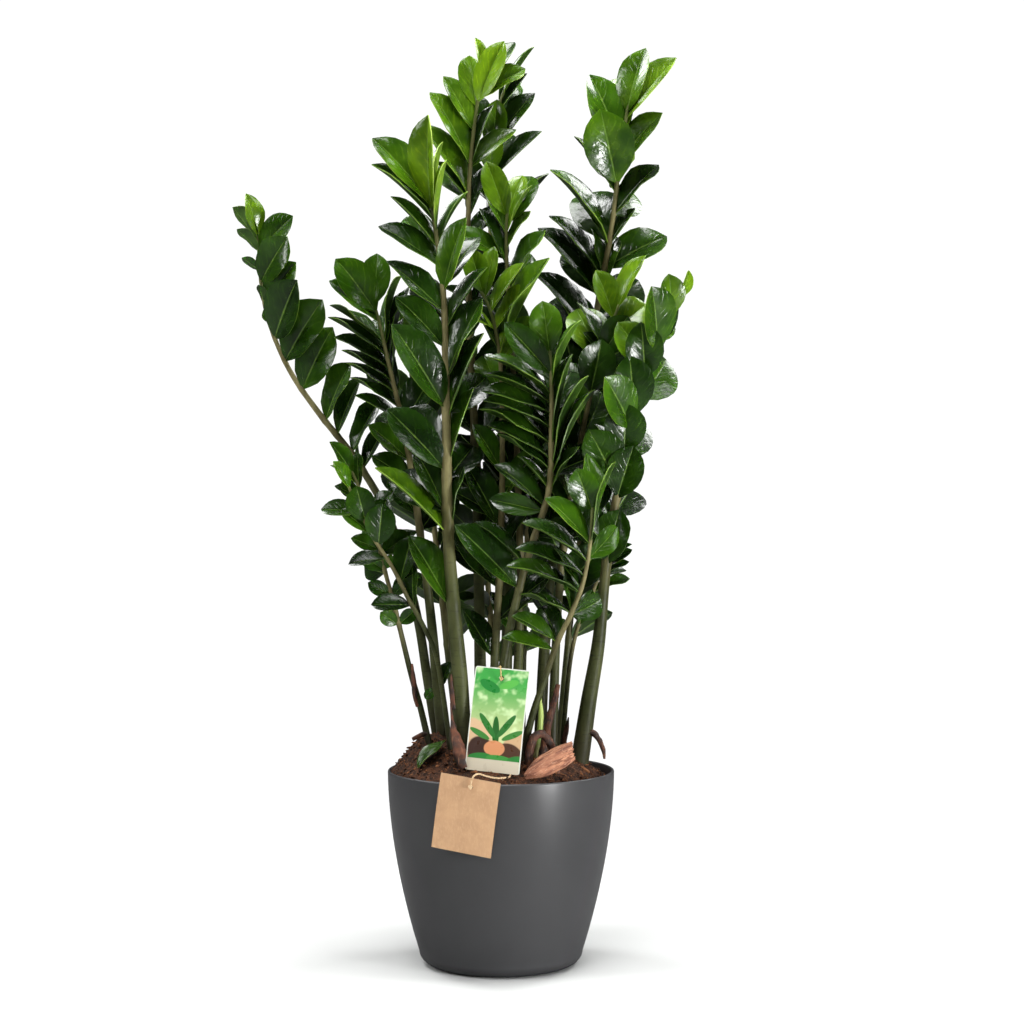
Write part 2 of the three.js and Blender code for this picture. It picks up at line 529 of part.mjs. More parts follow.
// The leaf that is seen from one picture point, its base, to another, its tip, so many points across,
// and that tilts towards the eye. Where it is less than nothing across, its underside is seen.
function growSeenLeaf(frond, [fromX, fromY, toX, toY, across, tilt], retry) {
  const share = nearestShare(frond, fromX, fromY);
  const { point, heading } = stemAt(frond.path, share);
  const span = spanAt(point.y);
  const flat = new THREE.Vector3((toX - fromX) * span, 0, (fromY - toY) * span);
  const reach = flat.length();
  flat.divideScalar(reach);
  const toward = new THREE.Vector3(0, -1, 0);
  const lean = radians(tilt + retry[0]);
  const midrib = flat.clone().multiplyScalar(Math.cos(lean)).addScaledVector(toward, Math.sin(lean));
  const open = toward.clone().multiplyScalar(Math.cos(lean)).addScaledVector(flat, -Math.sin(lean));
  const length = reach * Math.min(SEEN_LEAF.stretch, 1 / Math.cos(lean)) * retry[2];
  const shown = Math.abs(across) * span;
  const width = Math.max(length * frond.width, shown);
  const flank = new THREE.Vector3().crossVectors(midrib, open);
  const turn = THREE.MathUtils.clamp(
    Math.acos(shown / width) + radians(retry[1]), 0, radians(SEEN_LEAF.steepest),
  );
  const normal = open
    .clone()
    .multiplyScalar(Math.cos(turn) * (across < 0 ? -1 : 1))
    .addScaledVector(flank, Math.sin(turn) * (flank.dot(heading) < 0 ? -1 : 1));
  const outward = midrib.clone().addScaledVector(heading, -midrib.dot(heading)).normalize();
  const seat = LEAF.seat * stemRadius(frond, share);
  return {
    root: ringAxis(frond, share).addScaledVector(outward, seat),
    base: point.addScaledVector(outward, seat),
    midrib,
    normal,
    side: new THREE.Vector3().crossVectors(normal, midrib),
    length,
    width,
  };
}

// Points spread over a blade, row by row from its base, that stand for it where two blades meet.
const ROWS = [0.12, 0.3, 0.48, 0.66, 0.84, 1];
const COLUMNS = [-1, -0.5, 0, 0.5, 1];
function markLeaf(leaf) {
  leaf.marks = ROWS.flatMap((row) =>
    COLUMNS.map((column) =>
      leafPoint(leaf, row * leaf.length, column * halfWidth(leaf, row))),
  );
  leaf.middle = leafPoint(leaf, leaf.length / 2, 0);
  return leaf;
}

// Where a point lies against a blade: along it, across it, and off its surface.
function against(leaf, point) {
  const x = point.x - leaf.base.x;
  const y = point.y - leaf.base.y;
  const z = point.z - leaf.base.z;
  const u = x * leaf.midrib.x + y * leaf.midrib.y + z * leaf.midrib.z;
  const v = x * leaf.side.x + y * leaf.side.y + z * leaf.side.z;
  const w = x * leaf.normal.x + y * leaf.normal.y + z * leaf.normal.z;
  return { u, v, off: w - lift(leaf, u, v) };
}

function within(leaf, u, v, margin) {
  if (u < -margin || u > leaf.length + margin) return false;
  return Math.abs(v) < halfWidth(leaf, u / leaf.length) + margin;
}

// Whether the blade a touches or passes through the blade b, where both are past the joined share of
// their length.
function pierces(a, b, joined) {
  const seen = a.marks.map((mark, i) => ({
    past: ROWS[Math.floor(i / COLUMNS.length)] >= joined,
    ...against(b, mark),
  }));
  const start = joined * b.length;
  for (const { u, v, off, past } of seen) {
    if (past && u >= start && Math.abs(off) < LEAF.clear && within(b, u, v, 1)) return true;
  }
  for (let i = 0; i < seen.length; i++) {
    if (!seen[i].past) continue;
    const next = [];
    if ((i + 1) % COLUMNS.length) next.push(i + 1);
    if (i + COLUMNS.length < seen.length) next.push(i + COLUMNS.length);
    for (const j of next) {
      if (seen[i].off * seen[j].off >= 0) continue;
      const part = seen[i].off / (seen[i].off - seen[j].off);
      const u = mix(seen[i].u, seen[j].u, part);
      const v = mix(seen[i].v, seen[j].v, part);
      if (u >= start && within(b, u, v, 1)) return true;
    }
  }
  return false;
}

// Whether a leaf is clear of every other frond's stem and of every leaf that already grew.
function isClear(leaf, frond, grown) {
  for (const other of FRONDS) {
    for (let i = 0; i < other.path.line.length; i++) {
      const mark = other.path.line[i];
      const near = mark.distanceTo(leaf.middle);
      if (near > leaf.length * 0.6 + 20) continue;
      const radius = stemRadius(other, other.path.along[i] / other.path.total);
      const { u, v, off } = against(leaf, mark);
      // Its own stem may touch it only where it grows.
      if (other === frond && u < LEAF.neck * leaf.length) continue;
      const thick = other === frond ? radius : radius + LEAF.clear;
      if (Math.abs(off) < thick && within(leaf, u, v, thick)) return false;
    }
  }
  for (const other of grown) {
    if (other.middle.distanceTo(leaf.middle) > 0.6 * (leaf.length + other.length)) continue;
    const joined = other.owner === frond ? LEAF.joined : -Infinity;
    if (pierces(leaf, other, joined) || pierces(other, leaf, joined)) return false;
  }
  return true;
}

// Grows every frond's leaves, each in the first free place that it tries: first those that are placed
// as they are seen, and then the rest, from the tip down.
function growPlant() {
  for (const frond of FRONDS) {
    frond.path = traceStem(frond.stem);
    frond.rings = ringShares(frond.path.total);
    frond.grown = [];
  }
  const grown = [];
  const settle = (frond, retries, leafAt) => {
    for (const retry of retries) {
      const leaf = markLeaf(leafAt(retry));
      if (!isClear(leaf, frond, grown)) continue;
      leaf.owner = frond;
      frond.grown.push(leaf);
      grown.push(leaf);
      return;
    }
  };
  for (const frond of FRONDS) {
    for (const row of frond.seen) {
      settle(frond, SEEN_RETRIES, (retry) => growSeenLeaf(frond, row, retry));
    }
  }
  for (const frond of FRONDS) {
    const [count, from, to] = frond.fill;
    for (let i = count - 1; i >= 0; i--) {
      const q = i / (count - 1);
      const side = i % 2 ? 1 : -1;
      const atTip = i === count - 1 && to === ROW.last;
      const sideRoll = side < 0 ? frond.roll[0] : frond.roll[1];
      const swell = Math.sin(Math.PI * Math.min(1, ROW.swell * q));
      const spot = {
        share: mix(from, to, q ** ROW.crowding),
        angle: atTip ? TIP_LEAF.angle : mix(frond.angle[0], frond.angle[1], q * q),
        roll: atTip ? TIP_LEAF.roll : sideRoll,
        length: frond.length * mix(ROW.shortest, 1, swell),
      };
      const wobble = [draw(), draw(), draw(), draw()];
      settle(frond, RETRIES, (retry) => growLeaf(frond, spot, side, wobble, retry));
    }
  }
  return grown.length;
}

// ---- solids -------------------------------------------------------------------------------------

// A closed geometry with shared vertices, from one that may repeat them along its seams.
function welded(geometry) {
  geometry.deleteAttribute("normal");
  geometry.deleteAttribute("uv");
  return mergeVertices(geometry, 1e-3);
}

function toSolid(geometry) {
  const whole = welded(geometry);
  return new wasm.Manifold(
    new wasm.Mesh({
      numProp: 3,
      vertProperties: new Float32Array(whole.attributes.position.array),
      triVerts: new Uint32Array(whole.index.array),
    }),
  );
}

function toGeometry(solid) {
  const mesh = solid.getMesh();
  return new THREE.BufferGeometry()
    .setAttribute("position", new THREE.BufferAttribute(mesh.vertProperties, 3))
    .setIndex(new THREE.BufferAttribute(mesh.triVerts, 1));
}

// A turned shape about +Z from its profile [radius, height], which starts and ends on the axis.
function turned(profile, sides) {
  const lathe = new THREE.LatheGeometry(profile.map(([r, z]) => new THREE.Vector2(r, z)), sides);
  return lathe.rotateX(Math.PI / 2);
}

// A turned shape bent along a line: its height becomes the distance along the line.
function bentAlong(profile, sides, placeAt) {
  const geometry = welded(turned(profile, sides));
  const position = geometry.attributes.position;
  for (let i = 0; i < position.count; i++) {
    const { point, heading } = placeAt(position.getZ(i));
    const across = new THREE.Vector3(1, 0, 0).addScaledVector(heading, -heading.x).normalize();
    const other = new THREE.Vector3().crossVectors(heading, across);
    point.addScaledVector(across, position.getX(i)).addScaledVector(other, position.getY(i));
    position.setXYZ(i, point.x, point.y, point.z);
  }
  return geometry;
}

// A round piece that tapers along a smooth curve, closed at both ends.
function taperedTube(points, radii, sides) {
  const path = traceStem(points);
  const last = radii.length - 1;
  const profile = [[0, 0]];
  for (let i = 0; i <= last * 2; i++) {
    const k = Math.min(last - 1, Math.floor(i / 2));
    profile.push([mix(radii[k], radii[k + 1], i / 2 - k), (i / (last * 2)) * path.total]);
  }
  profile.push([0, path.total]);
  return bentAlong(profile, sides, (height) => stemAt(path, height / path.total));
}

// A frond's petiole and rachis: its foot runs straight down into the soil.
function stemGeometry(frond) {
  const { total } = frond.path;
  const profile = [[0, -ROOT_DEPTH], [frond.radius[0], -ROOT_DEPTH]];
  for (const share of frond.rings) profile.push([stemRadius(frond, share), share * total]);
  profile.push([0, total + frond.radius[2]]);
  return bentAlong(profile, STEM_SIDES, (height) => stemPlace(frond, height));
}

function stemPlace(frond, height) {
  const share = THREE.MathUtils.clamp(height / frond.path.total, 0, 1);
  const { point, heading } = stemAt(frond.path, share);
  point.addScaledVector(heading, height - share * frond.path.total);
  return { point, heading };
}

// The plain hole in the soil that a stem's foot stands in.
function rootHole(path, footRadius) {
  const radius = footRadius + GAP;
  const above = 12;
  const profile = [[0, -ROOT_DEPTH - GAP], [radius, -ROOT_DEPTH - GAP], [radius, above], [0, above]];
  return bentAlong(profile, STEM_SIDES, (height) => {
    const { point, heading } = stemAt(path, 0);
    return { point: point.addScaledVector(heading, height), heading };
  });
}

// A blade: pointed at both ends, folded along its midrib, thickest there and thin at its edge.
function leafGeometry(leaf) {
  const ring = [];
  const half = LEAF.thickness / 2;
  const root = leaf.root ?? leaf.base;
  const tip = leafPoint(leaf, leaf.length, 0);
  for (const share of LEAF.stations) {
    const u = share * leaf.length;
    const w = halfWidth(leaf, share);
    ring.push([
      leafPoint(leaf, u, -w), leafPoint(leaf, u, 0, half), leafPoint(leaf, u, w),
      leafPoint(leaf, u, 0, -half),
    ]);
  }
  const corners = [root, ...ring.flat(), tip];
  const last = corners.length - 1;
  const index = [];
  for (let k = 0; k < 4; k++) {
    const next = (k + 1) % 4;
    index.push(0, 1 + k, 1 + next);
    for (let row = 0; row < ring.length - 1; row++) {
      const a = 1 + row * 4 + k;
      const b = 1 + row * 4 + next;
      // The edge vertices are shared, so each quad is split from its midrib side.
      if (k % 2) index.push(a, a + 4, b, b, a + 4, b + 4);
      else index.push(a, a + 4, b + 4, a, b + 4, b);
    }
    const end = 1 + (ring.length - 1) * 4;
    index.push(end + k, last, end + next);
  }
  const geometry = new THREE.BufferGeometry().setFromPoints(corners);
  geometry.setIndex(index);
  return geometry;
}

function frondSolid(frond) {
  let whole = toSolid(stemGeometry(frond));
  for (const leaf of frond.grown) whole = whole.add(toSolid(leafGeometry(leaf)));
  for (const { frond: name, line, radius } of SHEATHS) {
    if (name === frond.name) whole = whole.add(toSolid(taperedTube(line, radius, STEM_SIDES)));
  }
  return whole;
}

// ---- pot and soil -------------------------------------------------------------------------------

function potRadius(z) {
  return POT.rim - POT.taper * ((POT.height - z) / POT.height) ** POT.belly;
}

function potGeometry() {
  const profile = [[0, 0], [POT.foot, 0]];
  const heel = potRadius(POT.heel);
  for (let i = 1; i <= 2; i++) {
    const turn = (i / 2) * (Math.PI / 2);
    profile.push([
      mix(POT.foot, heel, Math.sin(turn)),
      POT.heel * (1 - Math.cos(turn)),
    ]);
  }
  for (const z of POT.outerRings) profile.push([potRadius(z), z]);
  const top = POT.height;
  profile.push([POT.rim, top - POT.lip], [POT.rim - POT.lip, top]);
  profile.push([POT.rim - POT.wall + POT.lip, top], [POT.rim - POT.wall, top - POT.lip]);
  for (const z of [SOIL.wallLevel, ...POT.innerRings]) profile.push([potRadius(z) - POT.wall, z]);
  profile.push([POT.foot, POT.floor], [0, POT.floor]);
  return welded(turned(profile, POT.sides));
}

// The height of the soil's surface.
function soilHeight(x, y) {
  const reach = Math.hypot(x, y) / (POT.rim - POT.wall);
  const heap = SOIL.heap;
  const mound = Math.exp(-((x - heap.x) ** 2 + (y - heap.y) ** 2) / (2 * heap.spread ** 2));
  const inside = Math.min(1, 4 * (1 - reach));
  const lumps = Math.sin(x * 0.11 + 1.3) * Math.sin(y * 0.13 - 0.4) + Math.sin(x * 0.05 - y * 0.07);
  return (
    SOIL.wallLevel +
    SOIL.crown * (1 - reach ** SOIL.steep) -
    (SOIL.tilt * x) / POT.rim +
    inside * (heap.rise * mound + SOIL.lump * lumps)
  );
}

function soilGeometry() {
  const level = SOIL.wallLevel;
  const profile = [[0, POT.floor + GAP], [POT.foot - GAP, POT.floor + GAP]];
  for (const z of POT.innerRings.toReversed()) {
    profile.push([potRadius(z) - POT.wall - 2 * GAP, z]);
  }
  profile.push([potRadius(level - SOIL.tilt) - POT.wall - 2 * GAP, level]);
  for (const r of SOIL.rings) profile.push([r, level + 1]);
  profile.push([0, level + 1]);
  const bed = welded(turned(profile, POT.sides));
  const position = bed.attributes.position;
  for (let i = 0; i < position.count; i++) {
    if (position.getZ(i) < level - 0.01) continue;
    position.setZ(i, soilHeight(position.getX(i), position.getY(i)));
  }
  return bed;
}

// ---- bark, fallen leaf, card and tag ------------------------------------------------------------

// Lowers a solid until it lies the clearance above what is under it.
function settled(piece, ground) {
  let low = -DROP;
  let high = 0;
  while (high - low > 0.02) {
    const middle = (high + low) / 2;
    if (ground.intersect(piece.translate([0, 0, middle])).volume() > 1e-6) low = middle;
    else high = middle;
  }
  return piece.translate([0, 0, high + GAP]);
}

// A chip of bark: a slab whose edges are broken unevenly and whose ends are thinner than its middle.
function barkGeometry() {
  const slab = new THREE.SphereGeometry(0.5, 9, 5);
  slab.scale(BARK.length, BARK.width, BARK.thick);
  const chip = welded(slab);
  const position = chip.attributes.position;
  for (let i = 0; i < position.count; i++) {
    const [x, y, z] = [position.getX(i), position.getY(i), position.getZ(i)];
    const uneven = 1 + 0.14 * Math.sin(x * 0.19 + 1) * Math.cos(y * 0.31);
    position.setXYZ(i, x * uneven, y * (1.05 + 0.16 * Math.sin(x * 0.13)), z * uneven);
  }
  return chip;
}

function placed(geometry, { x = 0, y = 0, z = 0, pitch = 0, roll = 0, turn = 0 }) {
  geometry.rotateX(radians(pitch)).rotateY(radians(roll)).rotateZ(radians(turn));
  return geometry.translate(x, y, z);
}

function fallenLeafGeometry() {
  const [baseX, baseY] = FALLEN_LEAF.base;
  const [tipX, tipY] = FALLEN_LEAF.tip;
  const rise = radians(FALLEN_LEAF.slope);
  const flat = new THREE.Vector3(tipX - baseX, tipY - baseY, 0);
  const span = flat.length();
  const midrib = flat.normalize().multiplyScalar(Math.cos(rise));
  midrib.z = Math.sin(rise);
  const side = new THREE.Vector3(0, 0, 1).cross(midrib).normalize();
  const length = span / Math.cos(rise);
  const leaf = {
    base: new THREE.Vector3(baseX, baseY, DROP),
    midrib, side, normal: new THREE.Vector3().crossVectors(midrib, side),
    length, width: length * FALLEN_LEAF.width,
  };
  return leafGeometry(leaf);
}

// A flat card that stands in the X-Z plane, its lower edge's middle at the origin, its face to -Y.
function cardGeometry({ width, height, thick, hole }, across, corner) {
  const x = width / 2;
  const outline = new THREE.Shape();
  outline.moveTo(-x + corner, 0).lineTo(x - corner, 0).lineTo(x, corner);
  outline.lineTo(x, height - corner).lineTo(x - corner, height).lineTo(-x + corner, height);
  outline.lineTo(-x, height - corner).lineTo(-x, corner).closePath();
  const eye = new THREE.Path();
  eye.absarc(across, height - hole.below, hole.radius, 0, 2 * Math.PI, true);
  outline.holes.push(eye);
  const card = new THREE.ExtrudeGeometry(outline, {
    depth: thick, bevelEnabled: false, curveSegments: 4,
  });
  return card.rotateX(Math.PI / 2).translate(0, thick / 2, 0);
}

// A string or strap of round section along a smooth curve.
function stringGeometry(line, radius, sides, steps) {
  const section = new THREE.Shape();
  for (let i = 0; i < sides; i++) {
    const a = (i / sides) * 2 * Math.PI;
    if (i) section.lineTo(radius * Math.cos(a), radius * Math.sin(a));
    else section.moveTo(radius, 0);
  }
  const path = new THREE.CatmullRomCurve3(line.map((p) => new THREE.Vector3(...p)));
  return new THREE.ExtrudeGeometry(section, { steps, extrudePath: path, bevelEnabled: false });
}

function knot(point, radius) {
  return toSolid(new THREE.SphereGeometry(radius, 6, 4).translate(...point));
}

// The twine: knotted in the tag's hole, over the rim, under the card and round the frond's foot behind
// the card.
function twineSolid(foot) {
  const { height, radius, start } = TWINE.loop;
  const line = [...TWINE.line];
  const share = (height - foot.line[0].z) / foot.total;
  const { point } = stemAt(foot, share);
  for (let i = 0; i < 7; i++) {
    const a = radians(start + 48 * i);
    line.push([point.x + radius * Math.cos(a), point.y + radius * Math.sin(a), height + i * 0.4]);
  }
  const string = toSolid(stringGeometry(line, TWINE.radius, TWINE.sides, TWINE.steps));
  return string.add(knot(TWINE.line[0], TWINE.knot));
}

function tieSolid(hole) {
  const line = TIE.line.map(([x, y, z]) => [hole.x + x, hole.y + y, hole.z + z]);
  const [start, end] = [line[0], line[line.length - 1]];
  const middle = start.map((value, axis) => (value + end[axis]) / 2);
  return toSolid(stringGeometry(line, TIE.radius, TIE.sides, TIE.steps)).add(knot(middle, TIE.knot));
}

// ---- assembly -----------------------------------------------------------------------------------

growPlant();

const finishes = {
  leaf: { color: 0x2d5f1c, roughness: 0.32 },
  pot: { color: 0x4f5156, roughness: 0.42 },
  soil: { color: 0x36200f, roughness: 0.95 },
  husk: { color: 0x4a2c1c, roughness: 0.85 },
  shoot: { color: 0xa6c24a, roughness: 0.5 },
  bark: { color: 0xb07a58, roughness: 0.85 },
  card: { color: 0xb9cfa0, roughness: 0.35 },
  tie: { color: 0xe6d79a, roughness: 0.6 },
  kraft: { color: 0xc49a6c, roughness: 0.85 },
  twine: { color: 0xc8ab80, roughness: 0.9 },
};

const plant = new THREE.Group();

function addPiece(name, geometry, finish) {
  const material = new THREE.MeshStandardMaterial({ ...finishes[finish], metalness: 0 });
  const mesh = new THREE.Mesh(geometry, material);
  mesh.name = name;
  plant.add(mesh);
  return mesh;
}

addPiece("pot", potGeometry(), "pot");

const whole = toSolid(soilGeometry());
let bed = whole;
let standing = whole;
for (const frond of FRONDS) {
  const solid = frondSolid(frond);
  addPiece(frond.name, toGeometry(solid), "leaf");
  bed = bed.subtract(toSolid(rootHole(frond.path, frond.radius[0])));
  standing = standing.add(solid);
}
for (const { name, line, radius } of SPIKES) {
  const path = traceStem(line);
  const { point, heading } = stemAt(path, 0);
  const foot = point.clone().addScaledVector(heading, -ROOT_DEPTH).toArray();
  const solid = toSolid(taperedTube([foot, ...line], [radius[0], ...radius], STEM_SIDES));
  addPiece(name, toGeometry(solid), name === "young_shoot" ? "shoot" : "husk");
  bed = bed.subtract(toSolid(rootHole(path, radius[0])));
  standing = standing.add(solid);
}
addPiece("soil", toGeometry(bed), "soil");

// The husk's two ends are cut off along the soil, so that it stands on it.
const husk = toSolid(taperedTube(HUSK.line, HUSK.radius, STEM_SIDES))
  .subtract(whole.translate([0, 0, GAP]));
addPiece("arched_husk", toGeometry(husk), "husk");
standing = standing.add(husk);

const chip = placed(barkGeometry(), {
  pitch: BARK.tilt, roll: -BARK.roll, turn: BARK.turn, x: BARK.x, y: BARK.y, z: DROP,
});
addPiece("bark_chip", toGeometry(settled(toSolid(chip), standing)), "bark");

addPiece("fallen_leaf", toGeometry(settled(toSolid(fallenLeafGeometry()), standing)), "leaf");

const cardPlace = {
  pitch: CARD.lean, roll: CARD.roll, turn: CARD.turn, x: CARD.x, y: CARD.y, z: DROP,
};
const card = settled(toSolid(placed(cardGeometry(CARD, 0, CARD.corner), cardPlace)), whole);
addPiece("care_card", toGeometry(card), "card");
// A single point goes through the card's placing, and then down with it, to find its hole.
const eye = placed(
  new THREE.BufferGeometry().setFromPoints([new THREE.Vector3(0, 0, CARD.height - CARD.hole.below),
    new THREE.Vector3()]),
  cardPlace,
).attributes.position;
const sunk = card.boundingBox().min[2] - eye.getZ(1);
const cardHole = new THREE.Vector3().fromBufferAttribute(eye, 0);
addPiece("card_tie", toGeometry(tieSolid(cardHole.setZ(cardHole.z + sunk))), "tie");

const tagReach = POT.rim + GAP + TAG.thick / 2;
const tagTurn = radians(TAG.turn);
const tag = placed(
  cardGeometry(TAG, TAG.hole.across, 0.01).translate(0, 0, -TAG.height / 2),
  {
    roll: TAG.roll, turn: TAG.turn, z: TAG.middle,
    x: tagReach * Math.sin(tagTurn), y: -tagReach * Math.cos(tagTurn),
  },
);
addPiece("kraft_tag", toGeometry(toSolid(tag)), "kraft");
addPiece("tag_twine", toGeometry(twineSolid(FRONDS[1].path)), "twine");

export default plant;
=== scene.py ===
import math
import random

import bpy
import numpy as np
from mathutils import Matrix, Vector, noise


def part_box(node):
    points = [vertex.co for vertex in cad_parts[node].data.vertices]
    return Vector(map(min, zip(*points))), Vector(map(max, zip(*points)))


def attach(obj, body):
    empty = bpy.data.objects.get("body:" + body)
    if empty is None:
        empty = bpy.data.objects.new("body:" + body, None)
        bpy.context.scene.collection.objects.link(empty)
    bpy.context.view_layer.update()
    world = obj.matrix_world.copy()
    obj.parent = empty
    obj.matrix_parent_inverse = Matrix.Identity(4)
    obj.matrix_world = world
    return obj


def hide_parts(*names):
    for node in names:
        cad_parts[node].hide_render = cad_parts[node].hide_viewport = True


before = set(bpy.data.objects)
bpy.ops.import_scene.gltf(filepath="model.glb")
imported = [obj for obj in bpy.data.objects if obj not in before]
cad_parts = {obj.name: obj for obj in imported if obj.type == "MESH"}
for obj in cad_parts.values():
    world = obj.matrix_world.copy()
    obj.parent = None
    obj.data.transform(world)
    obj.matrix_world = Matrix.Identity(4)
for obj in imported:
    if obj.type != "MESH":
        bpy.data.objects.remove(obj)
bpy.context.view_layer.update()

mm = 0.001

# ---- Camera, light and floor --------------------------------------------------------------------
# A level view from the front, as of a plant photographed for a shop: a pale seamless ground, a small
# low soft box at the right, one at each side, one above the camera, one overhead and two behind.

VIEW = {"place": (0.0146, -2.56, 0.596), "lens": 67.8, "sensor": 36.0}

bpy.ops.object.camera_add(location=VIEW["place"], rotation=(math.radians(90), 0, 0))
camera = bpy.context.object
camera.data.lens = VIEW["lens"]
camera.data.sensor_width = VIEW["sensor"]
camera.data.clip_end = 100
bpy.context.scene.camera = camera
bpy.context.scene.view_settings.view_transform = "Standard"

# Each soft box: where it stands, what it looks at, its width and height, and its power in watts.
SOFT_BOXES = {
    "key": ((1.4, -1.26, 0.27), (0, 0, 0.2), (0.4, 0.5), 32),
    "side_left": ((-2.3, -0.9, 1.75), (0, 0, 0.7), (0.6, 1.3), 32),
    "side_right": ((2.3, -0.7, 2.3), (0, 0, 0.7), (0.6, 1.2), 16),
    "front": ((-0.4, -2.3, 3.3), (0, 0, 0.7), (1.4, 0.8), 34),
    "top": ((0.1, -0.3, 3.1), (0, 0, 0.8), (1.5, 1.1), 98),
    "rim_left": ((-1.5, 1.2, 2.6), (0, 0, 1.0), (0.8, 1.2), 44),
    "rim_right": ((1.6, 1.2, 2.5), (0, 0, 1.0), (0.8, 1.2), 40),
}


def soft_box(name, place, target, size, watts):
    aim = (Vector(target) - Vector(place)).to_track_quat("-Z", "Y")
    bpy.ops.object.light_add(type="AREA", location=place, rotation=aim.to_euler())
    light = bpy.context.object
    light.name = name
    light.data.shape = "RECTANGLE"
    light.data.size, light.data.size_y = size
    light.data.energy = watts


for name, settings in SOFT_BOXES.items():
    soft_box(name, *settings)


def new_material(name):
    material = bpy.data.materials.new(name)
    material.use_nodes = True
    shader = material.node_tree.nodes["Principled BSDF"]
    return material, material.node_tree, shader


def add_node(tree, kind, **values):
    """A node of a kind, with the given settings and the given values on its named inputs."""
    node = tree.nodes.new("ShaderNode" + kind)
    for key, value in values.items():
        if hasattr(node, key):
            setattr(node, key, value)
        else:
            node.inputs[key.replace("_", " ")].default_value = value
    return node


def put(tree, value, socket):
    """Puts a number, a colour or the output of a node on a socket."""
    if isinstance(value, (int, float)):
        socket.default_value = value
    elif isinstance(value, tuple):
        socket.default_value = (*value, 1)
    else:
        tree.links.new(value, socket)


def maths(tree, operation, a, b=0.0, c=0.0, clamp=False):
    """The output of a Math node on up to three numbers or outputs."""
    node = tree.nodes.new("ShaderNodeMath")
    node.operation = operation
    node.use_clamp = clamp
    for socket, value in zip(node.inputs, (a, b, c)):
        put(tree, value, socket)
    return node.outputs[0]


def vector_maths(tree, operation, a, b=None):
    """The output of a Vector Math node: a number for a length, and otherwise a vector."""
    node = tree.nodes.new("ShaderNodeVectorMath")
    node.operation = operation
    tree.links.new(a, node.inputs[0])
    if b is not None:
        tree.links.new(b, node.inputs[1])
    return node.outputs["Value" if operation == "LENGTH" else "Vector"]


def mixed(tree, factor, a, b, blend="MIX"):
    """The colour between two colours or outputs, at a factor."""
    node = tree.nodes.new("ShaderNodeMix")
    node.data_type = "RGBA"
    node.blend_type = blend
    for socket, value in zip((node.inputs[0], node.inputs[6], node.inputs[7]), (factor, a, b)):
        put(tree, value, socket)
    return node.outputs[2]


def blended(tree, factor, a, b):
    """Two shader nodes mixed at a factor."""
    node = tree.nodes.new("ShaderNodeMixShader")
    for socket, value in zip(node.inputs, (factor, a.outputs[0], b.outputs[0])):
        tree.links.new(value, socket)
    return node.outputs[0]


def mapped(tree, value, low, high, to_low=0.0, to_high=1.0):
    """A value brought from one range into another, held at its ends."""
    node = tree.nodes.new("ShaderNodeMapRange")
    node.interpolation_type = "SMOOTHSTEP"
    tree.links.new(value, node.inputs[0])
    for socket, number in zip(node.inputs[1:5], (low, high, to_low, to_high)):
        socket.default_value = number
    return node.outputs[0]


def surfaced(tree, shader, tone, roughness, height, strength, depth):
    """Gives a shader its colour, its roughness, and its relief, as deep as a depth in mm."""
    tree.links.new(tone, shader.inputs["Base Color"])
    put(tree, roughness, shader.inputs["Roughness"])
    bump = add_node(tree, "Bump", Strength=strength, Distance=depth * mm)
    tree.links.new(height, bump.inputs["Height"])
    tree.links.new(bump.outputs["Normal"], shader.inputs["Normal"])


def noise_at(tree, vector, scale, detail=3.0, roughness=0.5, stretch=(1, 1, 1)):
    """The value of a noise over a vector that is first stretched."""
    mapping = add_node(tree, "Mapping")
    mapping.inputs["Scale"].default_value = stretch
    tree.links.new(vector, mapping.inputs[0])
    texture = add_node(tree, "TexNoise", Scale=scale, Detail=detail, Roughness=roughness)
    tree.links.new(mapping.outputs[0], texture.inputs["Vector"])
    return texture.outputs["Fac"]


def object_point(tree):
    return tree.nodes.new("ShaderNodeTexCoord").outputs["Object"]


def attribute(tree, name):
    """The value of a point attribute."""
    node = tree.nodes.new("ShaderNodeAttribute")
    node.attribute_name = name
    return node.outputs["Fac"]


def axes(tree, vector):
    """A vector's X, Y and Z, each an output by its name."""
    split = tree.nodes.new("ShaderNodeSeparateXYZ")
    tree.links.new(vector, split.inputs[0])
    return split.outputs


def node_group(name, inputs, outputs):
    """A node group with named sockets, each of its kind, and its entry and its exit."""
    tree = bpy.data.node_groups.new(name, "ShaderNodeTree")
    for side, sockets in (("INPUT", inputs), ("OUTPUT", outputs)):
        for socket, kind in sockets.items():
            tree.interface.new_socket(socket, in_out=side, socket_type="NodeSocket" + kind)
    return tree, tree.nodes.new("NodeGroupInput"), tree.nodes.new("NodeGroupOutput")


# The ground is matt white board round the pot, dim in what is glossy, and runs out into the white
# surroundings: what the camera sees of it turns to plain white between these two distances.
FADE = {"from": 0.4, "to": 1.7, "white": 1.05}
BOARD = {"size": 60, "seen": (0.66, 0.67, 0.66), "in_gloss": (0.16, 0.16, 0.16)}

bpy.ops.mesh.primitive_plane_add(size=BOARD["size"], location=(0, 0, 0))
ground = bpy.context.object
ground.name = "ground"
board, tree, shader = new_material("white_board")
shader.inputs["Roughness"].default_value = 0.75
far = vector_maths(tree, "LENGTH", object_point(tree))
rays = tree.nodes.new("ShaderNodeLightPath")
dimmed = mixed(tree, rays.outputs["Is Glossy Ray"], BOARD["seen"], BOARD["in_gloss"])
tree.links.new(dimmed, shader.inputs["Base Color"])
faded = maths(tree, "MULTIPLY", mapped(tree, far, FADE["from"], FADE["to"]),
              rays.outputs["Is Camera Ray"])
glow = add_node(tree, "Emission", Color=(1, 1, 1, 1), Strength=FADE["white"])
tree.links.new(blended(tree, faded, shader, glow), tree.nodes["Material Output"].inputs[0])
ground.data.materials.append(board)

